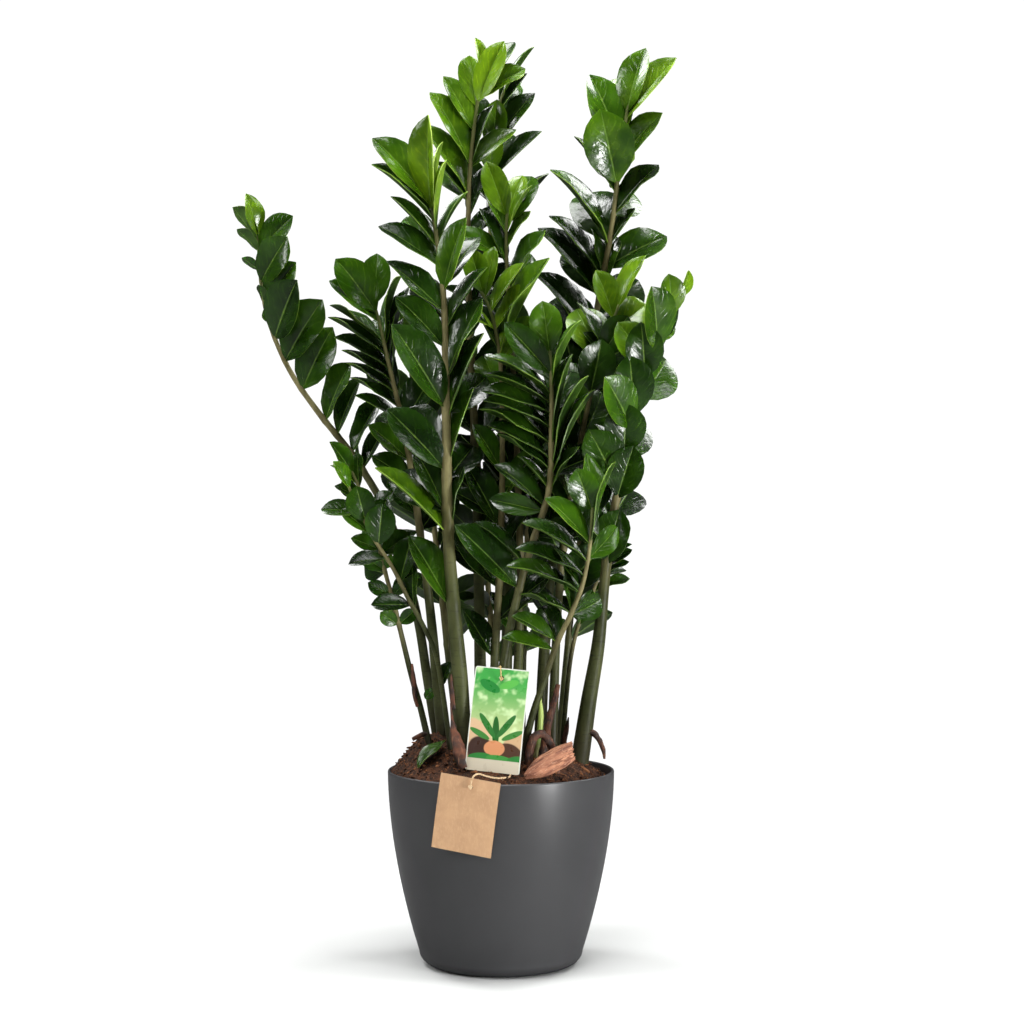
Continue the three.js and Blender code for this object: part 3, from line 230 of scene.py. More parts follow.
# The surroundings are white to the eye, and light the plant more from behind than from the front.
SKY = {"white": 1.05, "turn": (-0.3, 0.9), "front": 0.03, "back": 0.11}

world = bpy.data.worlds.new("studio")
bpy.context.scene.world = world
world.use_nodes = True
tree = world.node_tree
tree.nodes.clear()
seen = add_node(tree, "Background", Color=(1, 1, 1, 1), Strength=SKY["white"])
lit = add_node(tree, "Background", Color=(1, 1, 1, 1))
direction = tree.nodes.new("ShaderNodeTexCoord").outputs["Generated"]
strength = mapped(tree, axes(tree, direction)["Y"], *SKY["turn"], SKY["front"], SKY["back"])
tree.links.new(strength, lit.inputs["Strength"])
rays = tree.nodes.new("ShaderNodeLightPath")
out = tree.nodes.new("ShaderNodeOutputWorld")
tree.links.new(blended(tree, rays.outputs["Is Camera Ray"], lit, seen), out.inputs[0])

# ---- Pot ----------------------------------------------------------------------------------------
# An injection-moulded planter of dark grey polypropylene, 300 mm across. Its side curves in to a
# rounded foot, and its rim is a plain rounded edge. The finish is satin, with a very fine grain.

POT = {"height": 255, "rim": 150, "taper": 47, "belly": 1.8, "foot": 88, "heel": 17, "wall": 4,
       "floor": 5, "turns": 128, "grey": (0.04, 0.04, 0.042)}


def pot_radius(z):
    return POT["rim"] - POT["taper"] * ((POT["height"] - z) / POT["height"]) ** POT["belly"]


def deselect():
    if bpy.context.object and bpy.context.object.mode == "EDIT":
        bpy.ops.object.mode_set(mode="OBJECT")
    bpy.ops.object.select_all(action="DESELECT")


def turned(name, profile, turns):
    """A round piece: an edge drawn from point to point, [radius, height] in mm, and spun about Z."""
    deselect()
    start = Vector((profile[0][0] * mm, 0, profile[0][1] * mm))
    bpy.ops.mesh.primitive_plane_add(size=mm, location=start)
    piece = bpy.context.object
    piece.name = name
    bpy.ops.object.mode_set(mode="EDIT")
    bpy.ops.mesh.merge(type="CENTER")
    for (r0, z0), (r1, z1) in zip(profile, profile[1:]):
        step = ((r1 - r0) * mm, 0, (z1 - z0) * mm)
        bpy.ops.mesh.extrude_region_move(TRANSFORM_OT_translate={"value": step})
    bpy.ops.mesh.select_all(action="SELECT")
    bpy.ops.mesh.spin(steps=turns, angle=math.tau, center=(0, 0, 0), axis=(0, 0, 1))
    bpy.ops.mesh.remove_doubles(threshold=0.01 * mm)
    bpy.ops.mesh.normals_make_consistent(inside=False)
    bpy.ops.object.mode_set(mode="OBJECT")
    bpy.ops.object.transform_apply(location=True, rotation=True, scale=True)
    return piece


def pick(*pieces):
    """Selects these pieces and no others, the first of them active."""
    deselect()
    for piece in pieces:
        piece.select_set(True)
    bpy.context.view_layer.objects.active = pieces[0]


def joined(name, parts):
    """Several parts as one piece."""
    pick(*parts)
    bpy.ops.object.join()
    parts[0].name = name
    return parts[0]


def smooth(piece, degrees):
    pick(piece)
    bpy.ops.object.shade_smooth_by_angle(angle=math.radians(degrees))


def finish_piece(piece, material, slot, *nodes):
    """Gives a piece its finish, hangs it on the root body and hides the CAD parts that it stands for.
    Its slot is not used.
    """
    if material:
        piece.data.materials.clear()
        piece.data.materials.append(material)
    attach(piece, "root")
    if nodes:
        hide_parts(*nodes)


profile = [[0, 0], [60, 0], [POT["foot"] - 1, 0]]
heel_radius = pot_radius(POT["heel"])
for i in range(13):
    turn = i / 12 * math.pi / 2
    profile.append([POT["foot"] + (heel_radius - POT["foot"]) * math.sin(turn),
                    POT["heel"] * (1 - math.cos(turn))])
profile += [[pot_radius(z), z] for z in range(24, 253, 12)]
LIP = 1.9
centre = POT["rim"] - LIP - 0.05
for i in range(9):
    turn = i / 8 * math.pi
    profile.append([centre + LIP * math.cos(turn), POT["height"] - LIP + LIP * math.sin(turn)])
profile += [[pot_radius(z) - POT["wall"], z] for z in range(246, 30, -24)]
profile += [[POT["foot"] + 4, 9], [POT["foot"] - 3, POT["floor"]], [0, POT["floor"]]]
pot = turned("pot_shell", profile, POT["turns"])
smooth(pot, 50)

pot_grey, tree, shader = new_material("satin_grey_plastic")
point = object_point(tree)
cloud = noise_at(tree, point, 9, 3)
tone = mixed(tree, mapped(tree, cloud, 0.3, 0.7), POT["grey"], (0.045, 0.045, 0.047))
rub = noise_at(tree, point, 30, 3, 0.5)
grain = noise_at(tree, point, 1500, 2)
surfaced(tree, shader, tone, mapped(tree, rub, 0.3, 0.75, 0.33, 0.37), grain, 0.05, 0.1)
shader.inputs["Specular IOR Level"].default_value = 0.35
finish_piece(pot, pot_grey, "pot", "pot")

# ---- Soil ---------------------------------------------------------------------------------------
# A bed of dark peaty potting soil that fills the pot, heaped towards the middle and at the left. Its
# surface is lumpy, with crumbs of peat, bark and coconut fibre loose on it.

SOIL = {"level": 247, "crown": 36, "steep": 3.5, "tilt": 8, "heap": (-102, -10, 20, 36), "lump": 2,
        "gap": 0.6, "turns": 300, "rings": 62, "crumbs": 2300}


def soil_height(x, y):
    """The height of the smooth bed under its lumps, all in mm."""
    reach = min(1, math.hypot(x, y) / (POT["rim"] - POT["wall"]))
    heap_x, heap_y, rise, spread = SOIL["heap"]
    mound = math.exp(-((x - heap_x) ** 2 + (y - heap_y) ** 2) / (2 * spread**2))
    inside = min(1, 4 * (1 - reach))
    lumps = (math.sin(x * 0.11 + 1.3) * math.sin(y * 0.13 - 0.4)
             + math.sin(x * 0.05 - y * 0.07))
    return (SOIL["level"] + SOIL["crown"] * (1 - reach ** SOIL["steep"])
            - SOIL["tilt"] * x / POT["rim"] + inside * (rise * mound + SOIL["lump"] * lumps))


def clod(x, y):
    """How far the crumbly surface stands off the smooth bed, in mm."""
    coarse = noise.noise(Vector((x / 11, y / 11, 3.1)))
    fine = noise.noise(Vector((x / 4.3, y / 4.3, 7.7)))
    grit = noise.noise(Vector((x / 1.9, y / 1.9, 1.9)))
    return 1.5 * coarse + 1.4 * fine + 0.8 * grit - 0.6


wall_radius = pot_radius(SOIL["level"]) - POT["wall"] - SOIL["gap"]
profile = [[0, 6], [POT["foot"] - 4, 6], [POT["foot"] + 3, 12]]
profile += [[pot_radius(z) - POT["wall"] - SOIL["gap"], z] for z in (40, 100, 170, 225)]
profile += [[wall_radius * (1 - i / SOIL["rings"]), SOIL["level"]] for i in range(SOIL["rings"] + 1)]
bed = turned("soil_bed", profile, SOIL["turns"])
for vertex in bed.data.vertices:
    x, y, z = (c / mm for c in vertex.co)
    if z > SOIL["level"] - 1:
        edge = min(1, 12 * (1 - math.hypot(x, y) / wall_radius))
        vertex.co.z = (soil_height(x, y) + clod(x, y) * edge) * mm
smooth(bed, 60)

# Peat from near black to red-brown, with pale flecks of fibre. The same for the bed and its crumbs.
peat, tree, shader = new_material("peat")
point = object_point(tree)
patch = noise_at(tree, point, 150, 4, 0.6)
speck = noise_at(tree, point, 620, 3, 0.7)
tone = mixed(tree, mapped(tree, patch, 0.38, 0.66), (0.011, 0.005, 0.0025), (0.065, 0.023, 0.009))
tone = mixed(tree, mapped(tree, speck, 0.55, 0.68), tone, (0.23, 0.09, 0.035))
tone = mixed(tree, mapped(tree, attribute(tree, "tint"), 0.15, 1.0), tone, (0.25, 0.1, 0.042))
surfaced(tree, shader, tone, 0.9, speck, 0.8, 0.8)
shader.inputs["Specular IOR Level"].default_value = 0.25
finish_piece(bed, peat, "soil", "soil")


def scattered(name, master, places):
    """Copies of a small mesh, one for each (matrix, {attribute: value}), joined into one piece."""
    copies = []
    for matrix, marks in places:
        copy = master.copy()
        copy.data = master.data.copy()
        copy.data.transform(matrix)
        for key, value in marks.items():
            layer = copy.data.attributes.new(key, "FLOAT", "POINT")
            layer.data.foreach_set("value", [value] * len(copy.data.vertices))
        bpy.context.collection.objects.link(copy)
        copies.append(copy)
    return joined(name, copies)


deselect()
bpy.ops.mesh.primitive_ico_sphere_add(subdivisions=1, radius=1)
crumb = bpy.context.object
for vertex in crumb.data.vertices:
    vertex.co *= 1 + 0.35 * noise.noise(vertex.co * 1.7)
chance = random.Random(11)
places = []
for i in range(SOIL["crumbs"]):
    reach = (wall_radius - 3) * math.sqrt(chance.random())
    around = chance.uniform(0, math.tau)
    x, y = reach * math.cos(around), reach * math.sin(around)
    size = 0.8 + 2.2 * chance.random() ** 3
    long = 1 + 2.6 * chance.random() ** 4
    stretch = Matrix.Diagonal((size * long * mm, size * mm, size * 0.75 * mm, 1))
    spin = Matrix.Rotation(chance.uniform(0, math.tau), 4, "Z")
    lean = Matrix.Rotation(chance.uniform(-0.7, 0.7), 4, "Y")
    rest = Matrix.Translation((x * mm, y * mm, (soil_height(x, y) + clod(x, y) + 0.2) * mm))
    places.append((rest @ spin @ lean @ stretch, {"tint": chance.random() ** 2.2}))
crumbs = scattered("soil_crumbs", crumb, places)
bpy.data.objects.remove(crumb)
finish_piece(crumbs, peat, "soil", "soil")

# ---- Fronds: how they grow ----------------------------------------------------------------------
# Nineteen fronds stand in the soil. Each is a fleshy petiole that runs on as a thin rachis, with two
# ranks of leaflets, and every leaflet grows in the first place that is free for it. All in mm.

# Every frond: the points its stem runs through; its radius at the soil, at the first leaflet and at
# the tip; the share of its length where the leaflets start; the longest leaflet, and their width as
# a share of their length; how many grow by rule, from where to where; the compass direction that its
# upper face looks to, at its foot and at its tip (0 is the front, 90 the right); how far its two
# ranks open; their angle to the stem, lowest and highest; how far the left and the right ones turn
# up; and the leaflets that are placed as they are seen from the front: base and tip in the picture,
# how broad they show (less than nothing for the underside), their tilt towards the eye, and their
# freshness. Angles are in degrees. That freshness is partly the leaflet's age and partly painted
# shade: a leaflet that lies in shade is given a low freshness, which makes its green dark.
FRONDS = [
    {"name": "frond_front",
     "stem": [(-48, -85, 281), (-52, -88, 381), (-61, -88, 483), (-68, -85, 586), (-70, -78, 714),
              (-73, -68, 862), (-83, -60, 950), (-97, -52, 1034)],
     "radius": [12, 7.5, 1.8], "first": 0.36, "length": 102, "width": 0.47, "fill": (0, 0, 0),
     "face": [8, -12], "spread": 92, "angle": [38, 22], "roll": [46, 50],
     "seen": [(430, 207, 380, 139, 28, 10, 0.55), (431, 209, 422, 124, 25, 15, 1.0),
              (430, 208, 433, 138, 8, -8, 0.85), (436, 232, 440, 162, 6, 5, 0.85),
              (430, 220, 378, 160, 9, 10, 0.4), (434, 247, 393, 194, 12, 5, 0.5),
              (436, 268, 381, 222, 19, 5, 0.3), (441, 310, 389, 258, 24, 5, 0.15),
              (443, 350, 400, 299, 26, 8, 0.1), (444, 405, 399, 325, 36, 10, 0.1),
              (443, 468, 390, 408, 34, 10, 0.06), (441, 533, 378, 465, 14, 5, 0.62),
              (449, 603, 413, 533, 27, 12, 0.2), (446, 512, 421, 452, 24, -10, 0.1),
              (440, 243, 463, 190, 12, 0, 0.3), (443, 290, 459, 221, 27, 15, 0.5),
              (446, 325, 481, 262, 14, 0, 0.25), (450, 372, 478, 294, 22, 8, 0.2),
              (450, 420, 478, 336, 17, 5, 0.15), (451, 458, 469, 384, 17, 5, 0.3),
              (450, 520, 457, 462, 13, -5, 0.1)]},
    {"name": "frond_centre_right",
     "stem": [(-5, -70, 286), (-1, -73, 366), (9, -76, 431), (25, -80, 502), (44, -82, 566),
              (62, -82, 624), (65, -80, 701), (65, -76, 773), (62, -70, 820)],
     "radius": [6.5, 5, 2], "first": 0.4, "length": 98, "width": 0.42, "fill": (0, 0, 0),
     "face": [12, 12], "spread": 92, "angle": [52, 28], "roll": [26, 48],
     "seen": [(549, 352, 542, 303, 33, 8, 0.55), (549, 374, 505, 325, 28, 12, 0.35),
              (552, 376, 558, 335, 12, -10, 0.1), (553, 387, 572, 322, 6, 0, 0.4),
              (549, 393, 492, 349, 6, 5, 0.4), (548, 402, 486, 368, 8, 5, 0.1),
              (548, 414, 483, 384, 13, 5, 0.12), (548, 428, 486, 393, 9, 5, 0.1),
              (549, 443, 483, 404, 14, 5, 0.12), (549, 458, 492, 418, 11, 5, 0.08),
              (549, 471, 500, 432, 11, 5, 0.06), (549, 486, 522, 452, 6, 0, 0.3),
              (553, 445, 565, 355, 10, 0, 0.3), (555, 462, 579, 371, 10, 0, 0.25),
              (553, 475, 586, 385, 17, -8, 0.12), (551, 490, 575, 446, 5, 0, 0.3),
              (545, 512, 494, 500, 22, 8, 0.12), (521, 586, 463, 522, 30, 10, 0.1)]},
    {"name": "frond_low_right",
     "stem": [(30, -80, 292), (42, -84, 339), (57, -88, 383), (72, -92, 428), (91, -97, 468),
              (106, -100, 509), (114, -102, 554), (117, -102, 602)],
     "radius": [5, 4, 1.8], "first": 0.35, "length": 68, "width": 0.5, "fill": (0, 0, 0),
     "face": [0, 10], "spread": 90, "angle": [46, 26], "roll": [26, 66],
     "seen": [(592, 510, 577, 471, 31, 15, 0.35), (594, 505, 593, 448, 23, -5, 0.55),
              (595, 545, 611, 460, 14, -5, 0.15), (590, 542, 552, 493, 15, 8, 0.35),
              (588, 560, 530, 514, 8, 0, 0.15), (584, 575, 521, 540, 9, 0, 0.1),
              (579, 592, 512, 557, 6, 0, 0.2), (571, 613, 524, 590, 6, 0, 0.2),
              (571, 611, 567, 562, 16, -8, 0.15), (560, 642, 520, 612, 11, 5, 0.2),
              (553, 650, 504, 634, 11, 8, 0.5)]},
    {"name": "frond_right",
     "stem": [(106, -10, 279), (116, -16, 348), (128, -22, 421), (135, -28, 494), (144, -32, 572),
              (159, -36, 651), (175, -40, 723), (197, -42, 788), (223, -44, 853), (234, -44, 876)],
     "radius": [12, 6.5, 1.8], "first": 0.4, "length": 94, "width": 0.68, "fill": (0, 0, 0),
     "face": [58, 60], "spread": 66, "angle": [36, 20], "roll": [84, 42],
     "seen": [(683, 300, 695, 274, 9, 5, 0.95), (684, 322, 684, 283, 25, 15, 0.72),
              (671, 356, 667, 300, 34, 20, 0.5), (656, 383, 652, 330, 38, 20, 0.16),
              (643, 420, 641, 362, 40, 20, 0.12), (630, 456, 630, 408, 42, 20, 0.1),
              (619, 500, 633, 450, 37, 20, 0.14), (606, 563, 615, 510, 34, 15, 0.12),
              (657, 340, 670, 277, 18, -12, 0.06), (645, 352, 646, 306, 17, -12, 0.05),
              (630, 402, 624, 348, 18, -12, 0.04), (624, 430, 610, 390, 17, -12, 0.04),
              (612, 458, 589, 417, 17, -10, 0.04)]},
    {"name": "frond_far_left",
     "stem": [(-85, 32, 289), (-99, 36, 370), (-112, 38, 450), (-134, 40, 538), (-159, 42, 605),
              (-201, 42, 673), (-247, 40, 731), (-285, 38, 787), (-311, 34, 848), (-323, 30, 908),
              (-326, 26, 970)],
     "radius": [7, 5, 1.8], "first": 0.5, "length": 92, "width": 0.6, "fill": (0, 0, 0),
     "face": [60, 62], "spread": 66, "angle": [36, 18], "roll": [84, 36],
     "seen": [(263, 232, 256, 193, 17, 20, 0.9), (258, 241, 236, 203, -13, 10, 0.35),
              (256, 252, 238, 230, -10, 15, 0.3), (252, 270, 237, 257, -10, 20, 0.25),
              (258, 305, 254, 286, -7, 20, 0.2), (263, 325, 259, 310, -5, 20, 0.2),
              (258, 252, 291, 220, 28, 25, 0.45), (257, 283, 283, 244, 33, 28, 0.25),
              (263, 308, 292, 266, 31, 28, 0.2), (271, 338, 296, 283, 40, 28, 0.2),
              (286, 361, 321, 304, 40, 25, 0.3), (300, 392, 328, 334, 40, 28, 0.35),
              (322, 422, 343, 366, 22, 20, 0.3), (333, 440, 352, 385, 20, 15, 0.2),
              (347, 457, 370, 405, 18, 10, 0.12), (362, 468, 353, 444, 7, 0, 0.55),
              (360, 468, 380, 425, 16, 10, 0.1)]},
    {"name": "frond_left",
     "stem": [(-77, 0, 293), (-85, 0, 373), (-94, 0, 466), (-106, -2, 559), (-119, -5, 652),
              (-131, -7, 718), (-145, -9, 777), (-160, -10, 843), (-168, -10, 872)],
     "radius": [8, 5.5, 1.8], "first": 0.38, "length": 96, "width": 0.58, "fill": (0, 0, 0),
     "face": [-5, -25], "spread": 92, "angle": [38, 20], "roll": [28, 52],
     "seen": [(374, 322, 332, 279, 20, 15, 0.35), (377, 312, 343, 261, 33, 12, 0.5),
              (380, 303, 382, 253, 30, 5, 0.45), (383, 342, 389, 272, 12, -15, 0.4),
              (381, 345, 332, 303, 8, 0, 0.3), (384, 358, 331, 315, 13, 5, 0.2),
              (387, 370, 338, 332, 11, 5, 0.12), (389, 382, 343, 347, 11, 5, 0.1),
              (391, 394, 347, 361, 11, 5, 0.1), (396, 408, 352, 375, 11, 5, 0.08),
              (400, 422, 357, 392, 11, 5, 0.08), (387, 360, 399, 283, 14, -12, 0.03),
              (391, 375, 396, 318, 10, -15, 0.05), (408, 460, 372, 425, 20, 10, 0.25),
              (412, 485, 376, 455, 20, 8, 0.2), (415, 515, 390, 478, 24, 8, 0.1),
              (419, 530, 385, 548, 16, 10, 0.08), (437, 690, 444, 664, 12, 5, 0.12),
              (438, 690, 429, 700, 10, 10, 0.1)]},
    {"name": "frond_tall_right",
     "stem": [(52, 30, 287), (59, 36, 424), (69, 42, 531), (88, 47, 653), (111, 50, 775),
              (132, 52, 883), (149, 50, 978), (158, 47, 1052), (172, 42, 1150)],
     "radius": [8.5, 6, 2], "first": 0.45, "length": 112, "width": 0.64, "fill": (6, 0.36, 0.58),
     "face": [12, -22], "spread": 88, "angle": [34, 18], "roll": [48, 56],
     "seen": [(631, 110, 643, 48, 30, 8, 0.6), (635, 116, 678, 57, 25, 12, 0.85),
              (621, 150, 594, 76, 43, 14, 0.45), (615, 183, 599, 120, 50, 20, 0.5),
              (608, 190, 573, 129, 24, 0, 0.2), (620, 185, 649, 120, 20, -10, 0.15),
              (616, 214, 656, 160, 21, -6, 0.12), (613, 243, 635, 204, 14, -8, 0.25),
              (606, 238, 584, 205, 14, -8, 0.15), (604, 240, 557, 162, 13, 5, 0.45),
              (599, 275, 556, 207, 17, 0, 0.18), (594, 294, 544, 219, 24, 0, 0.15),
              (588, 335, 542, 267, 22, 0, 0.08), (608, 284, 618, 231, 26, -12, 0.2),
              (602, 270, 595, 226, 14, -12, 0.1)]},
    {"name": "frond_tall_centre",
     "stem": [(-26, -15, 288), (-28, -8, 427), (-31, 0, 585), (-37, 6, 745), (-43, 10, 892),
              (-43, 14, 1026), (-36, 16, 1110), (-25, 16, 1184)],
     "radius": [9, 6, 1.8], "first": 0.4, "length": 98, "width": 0.46, "fill": (8, 0.26, 0.6),
     "face": [0, -20], "spread": 88, "angle": [34, 18], "roll": [44, 40],
     "seen": [(484, 62, 482, 27, 9, 10, 0.92), (480, 104, 503, 47, 28, 15, 0.95),
              (484, 98, 516, 33, 26, -18, 0.45), (477, 105, 470, 51, 28, 0, 0.7),
              (474, 130, 448, 76, 21, 5, 0.65), (471, 166, 440, 94, 22, 8, 0.62),
              (469, 194, 430, 122, 18, 5, 0.72), (468, 202, 441, 160, 9, 3, 0.5),
              (473, 162, 490, 100, 15, -5, 0.08), (472, 215, 489, 160, 16, -8, 0.05),
              (471, 262, 488, 205, 17, -8, 0.03)]},
    {"name": "frond_tall_back",
     "stem": [(5, 28, 287), (8, 38, 450), (6, 48, 612), (-3, 56, 775), (-13, 60, 938),
              (-14, 60, 1061), (-4, 58, 1140), (4, 56, 1168)],
     "radius": [8.5, 6, 1.8], "first": 0.4, "length": 94, "width": 0.44, "fill": (9, 0.26, 0.7),
     "face": [20, 30], "spread": 88, "angle": [34, 18], "roll": [32, 40],
     "seen": [(500, 93, 526, 43, 5, 0, 0.6), (498, 110, 523, 70, 13, -5, 0.22),
              (494, 146, 531, 91, 25, 0, 0.22), (491, 178, 537, 126, 18, 0, 0.22),
              (490, 152, 495, 98, 25, 8, 0.66), (490, 174, 491, 134, 24, 10, 0.66),
              (492, 247, 541, 167, 12, -5, 0.22)]},
    {"name": "frond_low_left",
     "stem": [(-96, -32, 300), (-106, -36, 343), (-117, -40, 383), (-128, -44, 429),
              (-139, -47, 475), (-151, -50, 520), (-162, -53, 566), (-180, -57, 618),
              (-202, -60, 668)],
     "radius": [4.5, 3.5, 1.6], "first": 0.34, "length": 52, "width": 0.6, "fill": (0, 0, 0),
     "face": [-12, -20], "spread": 92, "angle": [70, 30], "roll": [78, 50],
     "seen": [(400, 623, 384, 611, 16, 15, 0.3), (401, 623, 416, 609, 15, 15, 0.3),
              (390, 596, 369, 583, 15, 15, 0.3), (391, 596, 403, 585, 12, 15, 0.3),
              (382, 571, 361, 557, 16, 15, 0.3), (382, 570, 388, 556, 10, 15, 0.3),
              (375, 550, 349, 538, 15, 15, 0.22), (345, 477, 326, 444, 14, 10, 0.2),
              (350, 490, 346, 456, 15, 8, 0.15), (347, 488, 323, 467, 5, 5, 0.35),
              (353, 507, 326, 486, 9, 12, 0.3)]},
    {"name": "frond_left_front",
     "stem": [(-66, -50, 289), (-74, -54, 352), (-84, -58, 410), (-99, -62, 446), (-120, -66, 485),
              (-140, -70, 525), (-166, -74, 566), (-188, -78, 611), (-204, -80, 650)],
     "radius": [3.6, 3, 1.6], "first": 0.5, "length": 60, "width": 0.58, "fill": (0, 0, 0),
     "face": [0, 10], "spread": 88, "angle": [50, 28], "roll": [40, 60],
     "seen": [(362, 524, 353, 489, 29, 12, 0.2), (374, 548, 378, 508, 31, 15, 0.22),
              (367, 532, 341, 509, 16, 15, 0.2), (348, 490, 336, 462, 5, 5, 0.55),
              (402, 579, 411, 534, 23, 5, 0.1), (420, 602, 416, 561, 16, 5, 0.1)]},
    {"name": "frond_mid_right",
     "stem": [(68, -8, 292), (73, -10, 427), (81, -13, 533), (96, -17, 638), (115, -20, 737),
              (134, -22, 809), (155, -24, 868)],
     "radius": [7, 5, 1.8], "first": 0.36, "length": 92, "width": 0.64, "fill": (6, 0.26, 0.62),
     "face": [8, 8], "spread": 88, "angle": [38, 20], "roll": [50, 60],
     "seen": [(619, 302, 640, 249, 19, 8, 0.9), (614, 316, 599, 269, 26, 10, 0.88),
              (603, 352, 627, 317, 31, 15, 0.22), (590, 391, 600, 341, 38, 18, 0.22),
              (592, 345, 571, 297, 15, -5, 0.05), (598, 352, 583, 330, 10, -5, 0.05)]},
    {"name": "frond_centre",
     "stem": [(17, -5, 287), (24, -5, 426), (25, -8, 559), (20, -10, 704), (13, -10, 837),
              (7, -8, 943), (9, -5, 1015)],
     "radius": [7.5, 5.5, 1.8], "first": 0.26, "length": 92, "width": 0.46, "fill": (9, 0.2, 0.7),
     "face": [0, 5], "spread": 88, "angle": [38, 20], "roll": [52, 54],
     "seen": [(508, 213, 489, 162, 26, 12, 0.72), (507, 232, 491, 190, 13, 8, 0.62),
              (510, 215, 524, 170, 22, 0, 0.85), (509, 232, 528, 184, 9, 0, 0.75),
              (512, 246, 532, 208, 9, 0, 0.62), (506, 262, 484, 204, 15, 0, 0.12),
              (510, 290, 540, 227, 14, 0, 0.35)]},
    {"name": "frond_mid_front",
     "stem": [(-15, -38, 285), (-8, -38, 402), (-1, -38, 533), (2, -37, 664), (0, -36, 782),
              (-8, -35, 838), (-17, -34, 868), (-30, -32, 892)],
     "radius": [6.5, 5, 1.8], "first": 0.27, "length": 90, "width": 0.46, "fill": (8, 0.2, 0.66),
     "face": [0, 0], "spread": 90, "angle": [38, 20], "roll": [56, 52],
     "seen": [(480, 293, 468, 250, 25, 5, 0.7), (484, 297, 491, 246, 20, 8, 0.8),
              (490, 312, 518, 262, 14, 5, 0.8), (495, 328, 523, 282, 13, 5, 0.8),
              (499, 352, 538, 255, 9, 0, 0.6), (497, 350, 481, 300, 14, -8, 0.05),
              (500, 354, 504, 325, 7, 0, 0.75)]},
    {"name": "frond_thin_right",
     "stem": [(82, 20, 284), (87, 22, 344), (94, 25, 404), (106, 27, 451), (127, 30, 498),
              (146, 32, 552), (162, 32, 605)],
     "radius": [3.4, 3, 1.6], "first": 0.32, "length": 58, "width": 0.42, "fill": (0, 0, 0),
     "face": [0, 0], "spread": 90, "angle": [50, 30], "roll": [14, 16],
     "seen": [(606, 569, 634, 550, 11, 0, 0.15), (608, 582, 636, 564, 6, 0, 0.15),
              (604, 594, 638, 580, 9, 0, 0.2), (620, 516, 637, 500, 4, 0, 0.3),
              (580, 625, 593, 590, 16, 5, 0.25), (606, 556, 630, 541, 8, 0, 0.15)]},
    {"name": "frond_back_right",
     "stem": [(26, 70, 285), (30, 88, 420), (34, 100, 530), (40, 108, 640), (40, 112, 737),
              (31, 112, 834)],
     "radius": [7, 5, 1.8], "first": 0.25, "length": 86, "width": 0.5, "fill": (10, 0.22, 0.985),
     "face": [165, 165], "spread": 86, "angle": [46, 26], "roll": [48, 48],
     "seen": []},
    {"name": "frond_back_left",
     "stem": [(-56, 62, 283), (-73, 80, 407), (-87, 92, 530), (-101, 100, 640), (-119, 102, 751),
              (-133, 100, 833)],
     "radius": [7, 5, 1.8], "first": 0.26, "length": 84, "width": 0.5, "fill": (10, 0.24, 0.985),
     "face": [195, 195], "spread": 86, "angle": [46, 26], "roll": [48, 48],
     "seen": []},
    {"name": "frond_back_centre",
     "stem": [(-2, 62, 279), (-10, 76, 394), (-20, 86, 516), (-28, 90, 626), (-36, 92, 723),
              (-43, 90, 791)],
     "radius": [6, 4.5, 1.8], "first": 0.24, "length": 80, "width": 0.5, "fill": (9, 0.22, 0.985),
     "face": [180, 180], "spread": 86, "angle": [46, 26], "roll": [48, 48],
     "seen": []},
    {"name": "frond_back_far",
     "stem": [(80, 75, 282), (92, 88, 420), (106, 98, 544), (122, 104, 654), (136, 106, 751),
              (144, 104, 820)],
     "radius": [6, 4.5, 1.8], "first": 0.28, "length": 80, "width": 0.5, "fill": (9, 0.26, 0.985),
     "face": [155, 155], "spread": 86, "angle": [46, 26], "roll": [48, 48],
     "seen": []},
]

# How fresh each frond's top is: the share of the frond where its young leaflets start, and how bright
# the youngest are.
FRESH = {
    "frond_front": (0.8, 1.0), "frond_centre_right": (0.88, 0.4), "frond_low_right": (0.4, 0.45),
    "frond_right": (0.5, 0.8), "frond_far_left": (0.3, 0.6), "frond_left": (0.85, 0.4),
    "frond_tall_right": (0.66, 0.95), "frond_tall_centre": (0.66, 0.85),
    "frond_tall_back": (0.8, 0.5), "frond_low_left": (0.4, 0.3), "frond_left_front": (0.5, 0.25),
    "frond_mid_right": (0.6, 0.95), "frond_centre": (0.7, 0.6), "frond_mid_front": (0.45, 0.95),
    "frond_thin_right": (0.4, 0.3), "frond_back_right": (0.7, 0.5), "frond_back_left": (0.7, 0.5),
    "frond_back_centre": (0.7, 0.5), "frond_back_far": (0.7, 0.5),
}

SPAN_STEPS = 12  # samples of a stem between two of its points
LEAF = {"fold": 0.2, "bow": -0.09, "blunt": 0.78, "point": 0.68, "seat": 0.68, "neck": 0.2,
        "joined": 0.42, "clear": 2.1}
STRAY = {"rank": 10, "angle": 7, "roll": 14, "length": 0.08}
TIP_LEAF = {"angle": 8, "roll": 78}
ROW = {"last": 0.985, "crowding": 0.9, "shortest": 0.8, "swell": 1.15}
# What a leaflet tries, in this order, when its place is taken: degrees added to its angle, degrees
# that its rank turns round the stem, and the share of its length that it keeps.
RETRIES = [
    (0, 0, 1), (0, 16, 1), (0, -16, 1), (-9, 8, 0.95), (10, -8, 0.95), (-12, -20, 0.92),
    (-12, 26, 0.92), (12, 30, 0.88), (12, -30, 0.88), (0, 42, 0.85), (0, -42, 0.85), (-18, 0, 0.8),
    (16, 52, 0.76), (16, -52, 0.76), (-22, 34, 0.72), (-22, -34, 0.72), (0, 0, 0.62),
]
